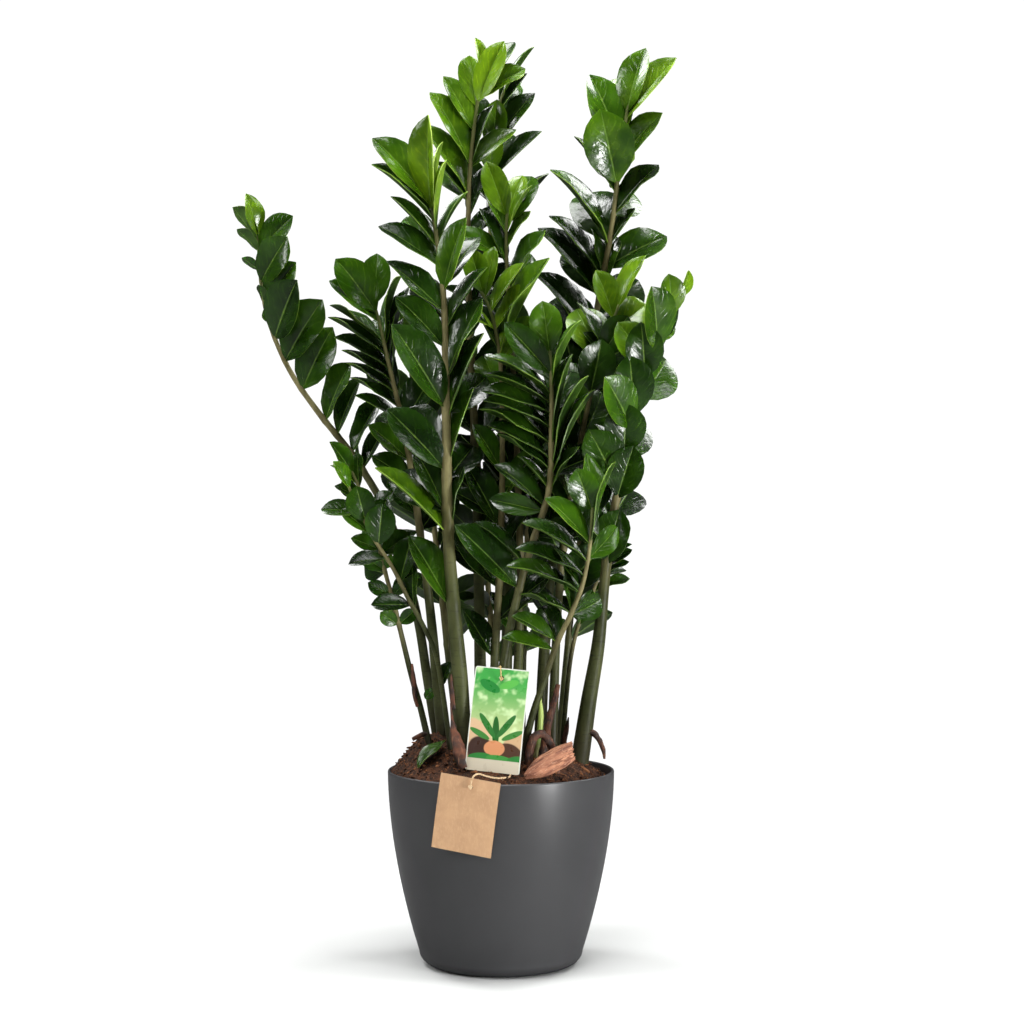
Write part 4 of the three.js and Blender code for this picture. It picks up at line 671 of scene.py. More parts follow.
# The same for a leaflet placed as it is seen: degrees added to its tilt, degrees that it turns about
# its midrib, and the share of its length that it keeps.
SEEN_RETRIES = [
    (0, 0, 1), (8, 0, 1), (-8, 0, 1), (0, 14, 1), (0, -14, 1), (16, 0, 1), (-16, 0, 1), (12, 16, 1),
    (-12, 16, 1), (12, -16, 1), (-12, -16, 1), (26, 0, 0.97), (-26, 0, 0.97), (24, 22, 0.95),
    (-24, 22, 0.95), (36, 0, 0.95), (-36, 0, 0.95), (0, 32, 0.92), (0, -32, 0.92), (30, -25, 0.9),
    (-30, -25, 0.9), (0, 0, 0.8), (20, 0, 0.75), (-20, 0, 0.75), (0, 0, 0.6),
]
# The eye that they are seen from: it looks along Y; its focal length and the middle of its picture
# are in picture points.
EYE = {"x": 14.6, "y": -2560, "z": 596, "focus": 1928, "middle": 512}
SEEN_LEAF = {"stretch": 1.25, "steepest": 84}
MARK_ROWS = (0.12, 0.3, 0.48, 0.66, 0.84, 1)
MARK_COLUMNS = (-1, -0.5, 0, 0.5, 1)


def mix(a, b, t):
    return (1 - t) * a + t * b


def draws(state=20240):
    """Repeatable numbers between -1 and 1."""
    while True:
        state = (state * 1664525 + 1013904223) % 4294967296
        yield state / 2147483648 - 1


def trace_stem(points):
    """A smooth line through the points, and how far along it each of its samples is."""
    p = np.array(points, float)
    p = np.vstack([2 * p[0] - p[1], p, 2 * p[-1] - p[-2]])
    line = []
    for k in range(1, len(p) - 2):
        before, after = 0.5 * (p[k + 1] - p[k - 1]), 0.5 * (p[k + 2] - p[k])
        for i in range(SPAN_STEPS + (k == len(p) - 3)):
            t = i / SPAN_STEPS
            bend = -3 * p[k] + 3 * p[k + 1] - 2 * before - after
            sway = 2 * p[k] - 2 * p[k + 1] + before + after
            line.append(p[k] + before * t + bend * t**2 + sway * t**3)
    line = np.array(line)
    along = np.concatenate([[0], np.linalg.norm(np.diff(line, axis=0), axis=1).cumsum()])
    return line, along


def stem_at(path, share):
    """The point and the direction of a stem at a share of its length."""
    line, along = path
    want = share * along[-1]
    i = min(max(1, int(np.searchsorted(along, want))), len(line) - 1)
    part = (want - along[i - 1]) / (along[i] - along[i - 1])
    step = line[i] - line[i - 1]
    return line[i - 1] + step * part, step / np.linalg.norm(step)


def stem_radius(frond, share):
    foot, middle, tip = frond["radius"]
    if share < frond["first"]:
        return mix(foot, middle, share / frond["first"])
    return mix(middle, tip, (share - frond["first"]) / (1 - frond["first"]))


def half_width(width, share):
    """Half the width of a blade at a share of its length."""
    held = np.clip(share, 0, 1)
    peak = LEAF["blunt"] / (LEAF["blunt"] + LEAF["point"])
    widest = peak ** LEAF["blunt"] * (1 - peak) ** LEAF["point"]
    return 0.5 * width * held ** LEAF["blunt"] * (1 - held) ** LEAF["point"] / widest


def unit(vector):
    return vector / np.linalg.norm(vector)


def turned_about(vector, axis, angle):
    return (vector * math.cos(angle) + np.cross(axis, vector) * math.sin(angle)
            + axis * np.dot(axis, vector) * (1 - math.cos(angle)))


def marked(base, midrib, normal, length, width, share, age):
    """A leaflet in its place, with points spread over its blade that stand for it where two meet."""
    side = np.cross(normal, midrib)
    marks = []
    for row in MARK_ROWS:
        for column in MARK_COLUMNS:
            u, v = row * length, column * half_width(width, row)
            rise = LEAF["fold"] * abs(v) + LEAF["bow"] * u * u / length
            marks.append(base + midrib * u + side * v + normal * rise)
    middle = base + midrib * length / 2 + normal * LEAF["bow"] * length / 4
    return {"base": base, "midrib": midrib, "normal": normal, "side": side, "share": share,
            "age": age, "length": np.array(length), "width": np.array(width),
            "marks": np.array(marks), "middle": middle}


def grow_leaf(frond, spot, side, wobble, retry):
    """The leaflet at a spot of a frond, on its left (-1) or right (1) side."""
    point, heading = stem_at(frond["path"], spot["share"])
    turn = math.radians(mix(*frond["face"], spot["share"]))
    face = np.array([math.sin(turn), -math.cos(turn), 0.0])
    face = unit(face - heading * np.dot(face, heading))
    rank = side * math.radians(frond["spread"] + STRAY["rank"] * wobble[0] + retry[1])
    outward = turned_about(face, heading, rank)
    angle = math.radians(spot["angle"] + STRAY["angle"] * wobble[1] + retry[0])
    midrib = heading * math.cos(angle) + outward * math.sin(angle)
    upper = heading * math.sin(angle) - outward * math.cos(angle)
    flank = np.cross(midrib, upper)
    roll = math.radians(spot["roll"] + STRAY["roll"] * wobble[2])
    roll *= -1 if np.dot(flank, face) < 0 else 1
    normal = upper * math.cos(roll) + flank * math.sin(roll)
    length = spot["length"] * (1 + STRAY["length"] * wobble[3]) * retry[2]
    base = point + outward * LEAF["seat"] * stem_radius(frond, spot["share"])
    return marked(base, midrib, normal, length, length * frond["width"], spot["share"], None)


def nearest_share(frond, picture_x, picture_y):
    """The share of a frond where it passes nearest to a point of the picture."""
    line, along = frond["path"]
    middle = (line[1:] + line[:-1]) / 2
    span = (middle[:, 1] - EYE["y"]) / EYE["focus"]
    x = EYE["middle"] + (middle[:, 0] - EYE["x"]) / span - picture_x
    y = EYE["middle"] - (middle[:, 2] - EYE["z"]) / span - picture_y
    i = int(np.argmin(x * x + y * y))
    return (along[i] + along[i + 1]) / 2 / along[-1]


def grow_seen_leaf(frond, row, retry):
    """The leaflet that is seen from one picture point, its base, to another, its tip."""
    from_x, from_y, to_x, to_y, across, tilt, age = row
    share = nearest_share(frond, from_x, from_y)
    point, heading = stem_at(frond["path"], share)
    span = (point[1] - EYE["y"]) / EYE["focus"]
    flat = np.array([(to_x - from_x) * span, 0.0, (from_y - to_y) * span])
    reach = float(np.linalg.norm(flat))
    flat = flat / reach
    toward = np.array([0.0, -1.0, 0.0])
    lean = math.radians(tilt + retry[0])
    midrib = flat * math.cos(lean) + toward * math.sin(lean)
    facing = toward * math.cos(lean) - flat * math.sin(lean)
    length = reach * min(SEEN_LEAF["stretch"], 1 / math.cos(lean)) * retry[2]
    shown = abs(across) * span
    width = max(length * frond["width"], shown)
    flank = np.cross(midrib, facing)
    turn = math.acos(shown / width) + math.radians(retry[1])
    turn = min(max(turn, 0), math.radians(SEEN_LEAF["steepest"]))
    normal = facing * math.cos(turn) * (-1 if across < 0 else 1)
    normal += flank * math.sin(turn) * (-1 if np.dot(flank, heading) < 0 else 1)
    outward = unit(midrib - heading * np.dot(midrib, heading))
    base = point + outward * LEAF["seat"] * stem_radius(frond, share)
    return marked(base, midrib, normal, length, width, share, age)


def against(leaf, points):
    """Where points lie against a blade, or against several: along, across and off its surface."""
    away = points - leaf["base"][..., None, :]
    u, v, w = ((away * leaf[key][..., None, :]).sum(-1) for key in ("midrib", "side", "normal"))
    lift = LEAF["fold"] * np.abs(v) + LEAF["bow"] * u * u / leaf["length"][..., None]
    return u, v, w - lift


def within(leaf, u, v, margin):
    length, width = leaf["length"][..., None], leaf["width"][..., None]
    inside = (u >= -margin) & (u <= length + margin)
    return inside & (np.abs(v) < half_width(width, u / length) + margin)


def pierced(leaf, marks, joined):
    """Whether any blade, given by its marks, touches a leaf past the joined share of its length."""
    u, v, off = against(leaf, marks)
    outer = u >= joined[..., None] * leaf["length"][..., None]
    past = np.repeat(np.array(MARK_ROWS), len(MARK_COLUMNS)) >= joined[..., None]
    if ((np.abs(off) < LEAF["clear"]) & within(leaf, u, v, 1) & outer & past).any():
        return True
    columns = len(MARK_COLUMNS)
    first = np.arange(len(MARK_ROWS) * columns)
    pairs = [(i, i + 1) for i in first if (i + 1) % columns]
    pairs += [(i, i + columns) for i in first if i + columns < len(first)]
    i, j = np.array(pairs).T
    crosses = (off[..., i] * off[..., j] < 0) & past[..., i]
    part = off[..., i] / np.where(crosses, off[..., i] - off[..., j], 1)
    u = mix(u[..., i], u[..., j], part)
    v = mix(v[..., i], v[..., j], part)
    outer = u >= joined[..., None] * leaf["length"][..., None]
    return bool((crosses & within(leaf, u, v, 1) & outer).any())


for frond in FRONDS:
    frond["path"] = trace_stem(frond["stem"])
    frond["grown"] = []
stems = {
    "points": np.vstack([frond["path"][0] for frond in FRONDS]),
    "radius": np.array([stem_radius(frond, along / frond["path"][1][-1])
                        for frond in FRONDS for along in frond["path"][1]]),
    "owner": np.array([k for k, frond in enumerate(FRONDS) for _ in frond["path"][1]]),
}
grown = []


def is_clear(leaf, owner):
    """Whether a leaflet is clear of all stems and of every leaflet that already grew."""
    near = np.linalg.norm(stems["points"] - leaf["middle"], axis=1) <= leaf["length"] * 0.6 + 20
    own = stems["owner"][near] == owner
    u, v, off = against(leaf, stems["points"][near])
    thick = stems["radius"][near] + np.where(own, 0, LEAF["clear"])
    hit = (np.abs(off) < thick) & within(leaf, u, v, thick)
    if (hit & ~(own & (u < LEAF["neck"] * leaf["length"]))).any():
        return False
    close = [other for other in grown if np.linalg.norm(other["middle"] - leaf["middle"])
             <= 0.6 * (leaf["length"] + other["length"])]
    if not close:
        return True
    keys = ("base", "midrib", "normal", "side", "length", "width", "marks")
    others = {key: np.array([other[key] for other in close]) for key in keys}
    joined = np.array([LEAF["joined"] if other["owner"] == owner else -9.0 for other in close])
    return (not pierced(leaf, others["marks"], joined)
            and not pierced(others, leaf["marks"], joined))


def settle(owner, retries, leaf_at):
    """Grows a leaflet in the first of its places that is free."""
    for retry in retries:
        leaf = leaf_at(retry)
        leaf["owner"] = owner
        if is_clear(leaf, owner):
            FRONDS[owner]["grown"].append(leaf)
            grown.append(leaf)
            return


for owner, frond in enumerate(FRONDS):
    for row in frond["seen"]:
        settle(owner, SEEN_RETRIES, lambda retry: grow_seen_leaf(frond, row, retry))
numbers = draws()
for owner, frond in enumerate(FRONDS):
    count, first, last = frond["fill"]
    for i in reversed(range(count)):
        q = i / (count - 1)
        side = 1 if i % 2 else -1
        at_tip = i == count - 1 and last == ROW["last"]
        swell = math.sin(math.pi * min(1, ROW["swell"] * q))
        spot = {"share": mix(first, last, q ** ROW["crowding"]),
                "angle": TIP_LEAF["angle"] if at_tip else mix(*frond["angle"], q * q),
                "roll": TIP_LEAF["roll"] if at_tip else frond["roll"][side > 0],
                "length": frond["length"] * mix(ROW["shortest"], 1, swell)}
        wobble = [next(numbers) for _ in range(4)]
        settle(owner, RETRIES, lambda retry: grow_leaf(frond, spot, side, wobble, retry))

# The dense inside of the crown: leaflets at the back of each frond, which the solids do without. How
# many, and the shares of the frond between which they grow.
BEHIND = {
    "frond_front": (9, 0.42, 0.86), "frond_centre_right": (7, 0.45, 0.9),
    "frond_low_right": (4, 0.45, 0.8), "frond_right": (8, 0.45, 0.9),
    "frond_far_left": (0, 0.7, 0.9), "frond_left": (9, 0.42, 0.9),
    "frond_tall_right": (13, 0.45, 0.95), "frond_tall_centre": (12, 0.4, 0.96),
    "frond_tall_back": (12, 0.45, 0.97), "frond_low_left": (7, 0.45, 0.85),
    "frond_left_front": (5, 0.5, 0.85), "frond_mid_right": (10, 0.4, 0.93),
    "frond_centre": (10, 0.36, 0.95), "frond_mid_front": (9, 0.36, 0.9),
    "frond_thin_right": (3, 0.5, 0.9), "frond_back_right": (5, 0.34, 0.7),
    "frond_back_left": (6, 0.34, 0.7), "frond_back_centre": (7, 0.3, 0.7),
    "frond_back_far": (6, 0.34, 0.7),
}
BACKWARD = {"spread": 38, "open": 14, "length": 0.9}
for owner, frond in enumerate(FRONDS):
    count, first, last = BEHIND[frond["name"]]
    turned_back = {**frond, "spread": frond["spread"] + BACKWARD["spread"]}
    for i in reversed(range(count)):
        q = i / (count - 1)
        spot = {"share": mix(first, last, q), "roll": frond["roll"][i % 2],
                "angle": mix(*frond["angle"], q * q) + BACKWARD["open"],
                "length": frond["length"] * BACKWARD["length"]}
        wobble = [next(numbers) for _ in range(4)]
        settle(owner, RETRIES,
               lambda retry: grow_leaf(turned_back, spot, 2 * (i % 2) - 1, wobble, retry))

# ---- Leaflets -----------------------------------------------------------------------------------
# Thick waxy blades, dark and glossy on top, paler and duller below, folded along the midrib, with a
# light line along the margin. They are modelled once, in three shapes: plain, waved, and curled.

BLADE = {"ratio": 0.5, "thick": 0.011, "fold": 0.42, "columns": (-1, -0.52, 0, 0.52, 1)}
# The blade's outline: shares of its length, and how broad it is there as a share of its width.
OUTLINE = ((0, 0.07), (0.08, 0.33), (0.2, 0.66), (0.35, 0.89), (0.49, 0.99), (0.62, 1), (0.745, 0.915),
           (0.85, 0.72), (0.925, 0.45), (0.972, 0.18), (1, 0.012))


def leaf_master(name, wave, curl, twist):
    """A leaflet one unit long and one wide, its base at the origin, along X, its upper side to +Z."""
    deselect()
    rows, columns = len(OUTLINE), len(BLADE["columns"])
    bpy.ops.mesh.primitive_grid_add(x_subdivisions=rows - 1, y_subdivisions=columns - 1, size=1,
                                    location=(0.5, 0.5, 0))
    blade = bpy.context.object
    bpy.ops.object.transform_apply(location=True)
    blade.name = name
    for vertex in blade.data.vertices:
        u, breadth = OUTLINE[round(vertex.co.x * (rows - 1))]
        across = BLADE["columns"][round(vertex.co.y * (columns - 1))]
        y = breadth * across / 2
        lift = BLADE["fold"] * abs(y) * BLADE["ratio"] + (LEAF["bow"] - curl * u * u) * u * u
        belly = 0.03 * breadth * (1 - (2 * abs(across) - 1) ** 2)
        ripple = wave * across * abs(across) * math.sin(2 * math.pi * (1.4 * u + 0.1)) * breadth
        sway = twist * y * u * u * BLADE["ratio"]
        vertex.co = (u, y, lift + belly + ripple + sway)
    solid = blade.modifiers.new("thickness", "SOLIDIFY")
    solid.thickness = BLADE["thick"]
    solid.offset = 0
    solid.material_offset = 1
    solid.material_offset_rim = 2
    for finish in (leaf_top, leaf_under, leaf_margin):
        blade.data.materials.append(finish)
    bpy.ops.object.modifier_apply(modifier=solid.name)
    smooth(blade, 24)
    return blade


# The leaf's green, for its upper side, its underside and its margin: near black-green when old,
# yellow-green when young, mottled, with the midrib and the side veins as masks of their own. For
# some leaflets placed as they are seen, the freshness they carry is partly painted shade, which
# darkens them towards the old green.
leaf_green, entry, leave = node_group(
    "leaf_green", {"Old": "Color", "Ripe": "Color", "Young": "Color"},
    {"Color": "Color", "Midrib": "Float", "Veins": "Float", "Mottle": "Float"})
tree = leaf_green
flat = axes(tree, add_node(tree, "UVMap", uv_map="UVMap").outputs[0])
along, across = flat["X"], flat["Y"]
off_rib = maths(tree, "ABSOLUTE", maths(tree, "MULTIPLY", maths(tree, "SUBTRACT", across, 0.5), 2.0))
rib_width = maths(tree, "MULTIPLY_ADD", along, -0.06, 0.085)
midrib = mapped(tree, maths(tree, "DIVIDE", off_rib, rib_width), 0.3, 1.0, 1.0, 0.0)
# Side veins leave the midrib forwards, nine on each side, uneven and broken.
point = object_point(tree)
drift = maths(tree, "MULTIPLY", noise_at(tree, point, 38, 2), 0.16)
sweep = maths(tree, "SUBTRACT", maths(tree, "ADD", along, drift),
              maths(tree, "MULTIPLY", off_rib, 0.34))
vein_wave = maths(tree, "SINE", maths(tree, "MULTIPLY", sweep, 9 * math.tau))
broken = mapped(tree, noise_at(tree, point, 70, 2), 0.4, 0.62)
veins = maths(tree, "MULTIPLY", mapped(tree, vein_wave, 0.45, 1.0), broken)
mottle = noise_at(tree, point, 34, 4, 0.6)
# The leaflet's freshness, partly its age and partly painted shade, sets its green between old and
# young.
patchy = maths(tree, "MULTIPLY_ADD", maths(tree, "SUBTRACT", mottle, 0.5), 0.45,
               attribute(tree, "age"))
age = maths(tree, "MULTIPLY_ADD", attribute(tree, "tint"), 0.09, patchy, clamp=True)
tone = mixed(tree, mapped(tree, age, 0.02, 0.58), entry.outputs["Old"], entry.outputs["Ripe"])
tone = mixed(tree, mapped(tree, age, 0.5, 1.05), tone, entry.outputs["Young"])
cloud = mapped(tree, noise_at(tree, point, 19, 3, 0.55), 0.34, 0.66)
shade = mixed(tree, cloud, (0.42, 0.48, 0.42), (1.2, 1.16, 1.1))
tone = mixed(tree, 1.0, tone, shade, "MULTIPLY")
for name, value in (("Color", tone), ("Midrib", midrib), ("Veins", veins), ("Mottle", mottle)):
    tree.links.new(value, leave.inputs[name])


def leaf_finish(name, greens, rib, vein, roughness):
    """One of the leaf's three finishes: its greens, and how much its ribs and veins stand out."""
    material, tree, shader = new_material(name)
    group = tree.nodes.new("ShaderNodeGroup")
    group.node_tree = leaf_green
    for socket, green in zip(("Old", "Ripe", "Young"), greens):
        group.inputs[socket].default_value = (*green, 1)
    light = mixed(tree, 0.6, group.outputs["Color"], (0.3, 0.5, 0.1))
    tone = mixed(tree, maths(tree, "MULTIPLY", group.outputs["Midrib"], rib),
                 group.outputs["Color"], light)
    pale = mixed(tree, 1.0, tone, (1.9, 1.6, 1.3), "MULTIPLY")
    tone = mixed(tree, maths(tree, "MULTIPLY", group.outputs["Veins"], vein), tone, pale)
    shader.inputs["Specular IOR Level"].default_value = 0.4
    shader.inputs["Subsurface Weight"].default_value = 0.14
    shader.inputs["Subsurface Radius"].default_value = (0.6, 1.0, 0.15)
    shader.inputs["Subsurface Scale"].default_value = 1.6 * mm
    wavy = noise_at(tree, object_point(tree), 75, 3, 0.45)
    ridge = maths(tree, "ADD", maths(tree, "MULTIPLY", group.outputs["Veins"], -0.4),
                  maths(tree, "MULTIPLY", group.outputs["Midrib"], -0.8))
    height = maths(tree, "ADD", ridge, maths(tree, "MULTIPLY", wavy, 2.2))
    dull = mapped(tree, group.outputs["Mottle"], 0.3, 0.7, roughness - 0.05, roughness + 0.08)
    surfaced(tree, shader, tone, dull, height, 0.75, 0.6)
    return material


# Each side's greens, when old, ripe and young.
GREENS = {
    "leaf_top": ((0.009, 0.03, 0.002), (0.034, 0.098, 0.003), (0.13, 0.25, 0.007)),
    "leaf_under": ((0.016, 0.042, 0.004), (0.055, 0.13, 0.008), (0.17, 0.3, 0.02)),
    "leaf_margin": ((0.08, 0.15, 0.014), (0.19, 0.32, 0.03), (0.4, 0.56, 0.08)),
}
leaf_top = leaf_finish("leaf_top", GREENS["leaf_top"], 0.5, 0.6, 0.2)
leaf_under = leaf_finish("leaf_under", GREENS["leaf_under"], 0.6, 0.6, 0.4)
leaf_margin = leaf_finish("leaf_margin", GREENS["leaf_margin"], 0.0, 0.0, 0.4)

# Each shape's wave, curl and twist.
SHAPES = {"plain_leaflet": (0.0, 0.0, 0.0), "waved_leaflet": (0.03, 0.01, 0.22),
          "curled_leaflet": (0.018, 0.045, -0.3)}
masters = [leaf_master(name, *shape) for name, shape in SHAPES.items()]


def leaf_matrix(leaf):
    """Brings a leaflet one unit long to its size and place."""
    columns = [leaf["midrib"] * leaf["length"], leaf["side"] * leaf["width"],
               leaf["normal"] * leaf["length"], leaf["base"]]
    matrix = Matrix.Identity(4)
    for k, column in enumerate(columns):
        for axis in range(3):
            matrix[axis][k] = column[axis] * mm
    return matrix


def leaflets(frond):
    """All the leaflets of a frond as one piece, each of one of the three shapes."""
    start, amount = FRESH[frond["name"]]
    chance = random.Random(len(frond["grown"]) * 100 + frond["stem"][0][2])
    groups = [[], [], []]
    for leaf in frond["grown"]:
        fresh = max(0.0, (leaf["share"] - start) / (1 - start))
        # A leaflet placed as it is seen keeps the freshness listed for it, partly its age and partly
        # painted shade.
        age = amount * fresh ** 0.7 if leaf["age"] is None else leaf["age"]
        marks = {"age": age + 0.06 * chance.random(), "tint": chance.uniform(-1, 1)}
        groups[chance.randrange(3)].append((leaf_matrix(leaf), marks))
    parts = [scattered("part", master, places) for master, places in zip(masters, groups) if places]
    return joined(frond["name"].replace("frond", "leaflets"), parts)


for frond in FRONDS:
    finish_piece(leaflets(frond), None, "foliage", frond["name"])

# ---- Stems --------------------------------------------------------------------------------------
# Fleshy round petioles, thick at the soil: grey-green, mottled with short darker cross-marks. Above
# the first leaflet they run on as a thinner, buff to brown rachis, slightly swollen at each leaflet.

STEM = {"spacing": 5, "round": 4, "root": 38, "swell": 0.13, "knot": 4.0}


def round_bar(name, line, radii, roundness):
    """A round bar of changing radius along a line, both in mm, closed at its ends."""
    deselect()
    bpy.ops.curve.primitive_nurbs_path_add()
    bar = bpy.context.object
    bar.name = name
    bar.data.splines.clear()
    spline = bar.data.splines.new("POLY")
    spline.points.add(len(line) - 1)
    for point, place, radius in zip(spline.points, line, radii):
        point.co = (*(c * mm for c in place), 1)
        point.radius = radius
    bar.data.bevel_depth = mm
    bar.data.bevel_resolution = roundness
    bar.data.use_fill_caps = True
    bpy.ops.object.convert(target="MESH")
    bar = bpy.context.object
    bpy.ops.object.mode_set(mode="EDIT")
    bpy.ops.mesh.select_all(action="SELECT")
    bpy.ops.mesh.remove_doubles(threshold=0.01 * mm)
    bpy.ops.mesh.normals_make_consistent(inside=False)
    bpy.ops.object.mode_set(mode="OBJECT")
    smooth(bar, 60)
    return bar


def mark_along(piece, line):
    """Gives every vertex the share of the line's length that it lies at, as "along"."""
    points = np.empty(len(piece.data.vertices) * 3)
    piece.data.vertices.foreach_get("co", points)
    points = points.reshape(-1, 3) / mm
    distance = ((points[:, None, :] - np.array(line)[None, :, :]) ** 2).sum(-1)
    shares = distance.argmin(1) / (len(line) - 1)
    layer = piece.data.attributes.new("along", "FLOAT", "POINT")
    layer.data.foreach_set("value", shares.astype(np.float32))


def stem(frond):
    total = frond["path"][1][-1]
    point, heading = stem_at(frond["path"], 0)
    line = [point - heading * STEM["root"]]
    radii = [frond["radius"][0]]
    steps = round(total / STEM["spacing"])
    for i in range(steps + 1):
        share = i / steps
        point, heading = stem_at(frond["path"], share)
        swollen = sum(math.exp(-((share - leaf["share"]) * total / STEM["knot"]) ** 2)
                      for leaf in frond["grown"])
        line.append(point)
        radii.append(stem_radius(frond, share) * (1 + STEM["swell"] * min(1, swollen)))
    line.append(point + heading * frond["radius"][2])
    radii.append(frond["radius"][2] * 0.5)
    piece = round_bar(frond["name"].replace("frond", "stem"), line, radii, STEM["round"])
    mark_along(piece, line)
    first = piece.data.attributes.new("past_first", "FLOAT", "POINT")
    along = np.empty(len(piece.data.vertices), np.float32)
    piece.data.attributes["along"].data.foreach_get("value", along)
    first.data.foreach_set("value", np.clip((along - frond["first"]) * 5 + 0.3, 0, 1))
    return piece


stem_skin, tree, shader = new_material("stem_skin")
point = object_point(tree)
along = attribute(tree, "along")
cloud = noise_at(tree, point, 40, 4, 0.6, (1, 1, 0.35))
bars = noise_at(tree, point, 160, 2, 0.5, (0.5, 0.5, 2.4))
petiole = mixed(tree, mapped(tree, cloud, 0.3, 0.7), (0.026, 0.031, 0.009), (0.066, 0.074, 0.024))
petiole = mixed(tree, mapped(tree, bars, 0.55, 0.72, 0, 0.6), petiole, (0.013, 0.016, 0.007))
foot = mapped(tree, along, 0.0, 0.12, 0.75, 0.0)
petiole = mixed(tree, foot, petiole, (0.024, 0.02, 0.01))
rachis = mixed(tree, mapped(tree, cloud, 0.32, 0.68), (0.072, 0.062, 0.022), (0.22, 0.195, 0.085))
green_tip = mapped(tree, along, 0.8, 1.0, 0.0, 0.6)
rachis = mixed(tree, green_tip, rachis, (0.09, 0.14, 0.03))
tone = mixed(tree, attribute(tree, "past_first"), petiole, rachis)
ridges = noise_at(tree, point, 300, 2, 0.5, (1, 1, 0.12))
surfaced(tree, shader, tone, mapped(tree, cloud, 0.3, 0.7, 0.42, 0.55), ridges, 0.35, 0.4)
shader.inputs["Specular IOR Level"].default_value = 0.2

for frond in FRONDS:
    finish_piece(stem(frond), stem_skin, "foliage", frond["name"])

# ---- Dry sheaths and the husk -------------------------------------------------------------------
# Papery brown scales that once wrapped the petioles and have dried on them: pointed, ridged along
# their length and shrivelled. An old petiole has dried into a brown arch in front of the bark.

SHEATHS = {
    "frond_front": [([(-47, -108, 271), (-51, -108, 284), (-54, -106, 298), (-60, -101, 320),
                      (-64, -98, 352)], [6.5, 8, 6, 2, 0.7]),
                    ([(-63, -93, 388), (-62, -93, 366), (-60, -91, 344)], [0.8, 3.2, 4])],
    "frond_right": [([(105, -14, 302), (118, -17, 306), (129, -20, 297), (135, -24, 282),
                      (136, -28, 272)], [3.5, 4, 3.6, 3, 1.4])],
    "frond_low_left": [([(-98, -34, 306), (-106, -38, 303), (-115, -42, 299)], [3.6, 3.2, 2.6]),
                       ([(-116, -44, 398), (-114, -45, 378), (-112, -45, 356), (-109, -43, 342)],
                        [1.4, 3, 3.2, 2])],
    "frond_thin_right": [([(83, 19, 288), (87, 17, 302), (90, 14, 322)], [4, 3.4, 0.8])],
}
HUSK = {"line": [(36, -97, 256), (37, -95, 290), (45, -90, 309), (57, -86, 308), (67, -84, 290),
                 (73, -86, 256)],
        "radius": [4, 5, 5.5, 5, 4.5, 4]}
WITHER = {"spacing": 1.6, "ridges": 5, "ridge": 0.13, "dent": 0.22, "dent_size": 7}


def withered(name, points, radii, wrinkle=1.0):
    """A dried, ridged and dented bar through the points, in mm."""
    path = trace_stem(points)
    steps = max(6, round(path[1][-1] / WITHER["spacing"]))
    shares = [i / steps for i in range(steps + 1)]
    line = [stem_at(path, share)[0] for share in shares]
    widths = np.interp(shares, np.linspace(0, 1, len(radii)), radii)
    piece = round_bar(name, line, widths, 6)
    for vertex in piece.data.vertices:
        place = np.array(vertex.co) / mm
        k = int(((np.array(line) - place) ** 2).sum(1).argmin())
        away = place - line[k]
        turn = math.atan2(away[1], away[0] + 0.5 * away[2])
        dent = noise.noise(Vector(place / WITHER["dent_size"]))
        ridge = math.sin(WITHER["ridges"] * turn + 2 * dent)
        scale = 1 + wrinkle * (WITHER["ridge"] * ridge + WITHER["dent"] * dent)
        vertex.co = Vector((line[k] + away * scale) * mm)
    mark_along(piece, line)
    return piece


# Brown fibre: red-brown to dark, streaked along the sheath, with paler worn ridges.
husk_fibre, tree, shader = new_material("husk_fibre")
point = object_point(tree)
cloud = noise_at(tree, point, 70, 4, 0.6)
streak = noise_at(tree, point, 420, 3, 0.6, (1, 1, 0.14))
tone = mixed(tree, mapped(tree, cloud, 0.35, 0.68), (0.022, 0.009, 0.005), (0.13, 0.042, 0.019))
tone = mixed(tree, mapped(tree, streak, 0.54, 0.75, 0, 0.7), tone, (0.26, 0.12, 0.06))
surfaced(tree, shader, tone, mapped(tree, cloud, 0.3, 0.7, 0.6, 0.85), streak, 0.8, 0.7)

for name, pieces in SHEATHS.items():
    for k, (points, radii) in enumerate(pieces):
        sheath = withered(name.replace("frond", "sheath") + "_" + "ab"[k], points, radii)
        finish_piece(sheath, husk_fibre, "husk", name)
finish_piece(withered("dried_petiole", HUSK["line"], HUSK["radius"]), husk_fibre, "husk",
             "arched_husk")

# ---- Young shoot and dry stub -------------------------------------------------------------------
# A new frond is just coming out of the soil, still rolled up and yellow-green. Behind it stands the
# brown stub of a petiole that was cut off, dry and split.

SPIKES = {
    "young_shoot": ([(45, -58, 284), (50, -60, 310), (52, -60, 336), (51, -60, 362)],
                    [4, 4, 3.6, 0.8]),
    "dry_stub": ([(56, -46, 286), (62, -40, 318), (70, -33, 348), (75, -30, 370)], [5, 5, 4.6, 3]),
}

rolled_shoot, tree, shader = new_material("rolled_shoot")
point = object_point(tree)
along = attribute(tree, "along")
cloud = noise_at(tree, point, 120, 3, 0.6, (1, 1, 0.3))
tone = mixed(tree, mapped(tree, along, 0.35, 1.0), (0.16, 0.24, 0.05), (0.42, 0.55, 0.11))
tone = mixed(tree, mapped(tree, along, 0.36, 0.5, 0.85, 0.0), tone, (0.11, 0.06, 0.03))
tone = mixed(tree, mapped(tree, cloud, 0.3, 0.7, 0, 0.35), tone, (0.5, 0.6, 0.2))
rolls = noise_at(tree, point, 260, 2, 0.5, (1, 1, 0.1))
surfaced(tree, shader, tone, mapped(tree, cloud, 0.3, 0.7, 0.38, 0.5), rolls, 0.4, 0.5)

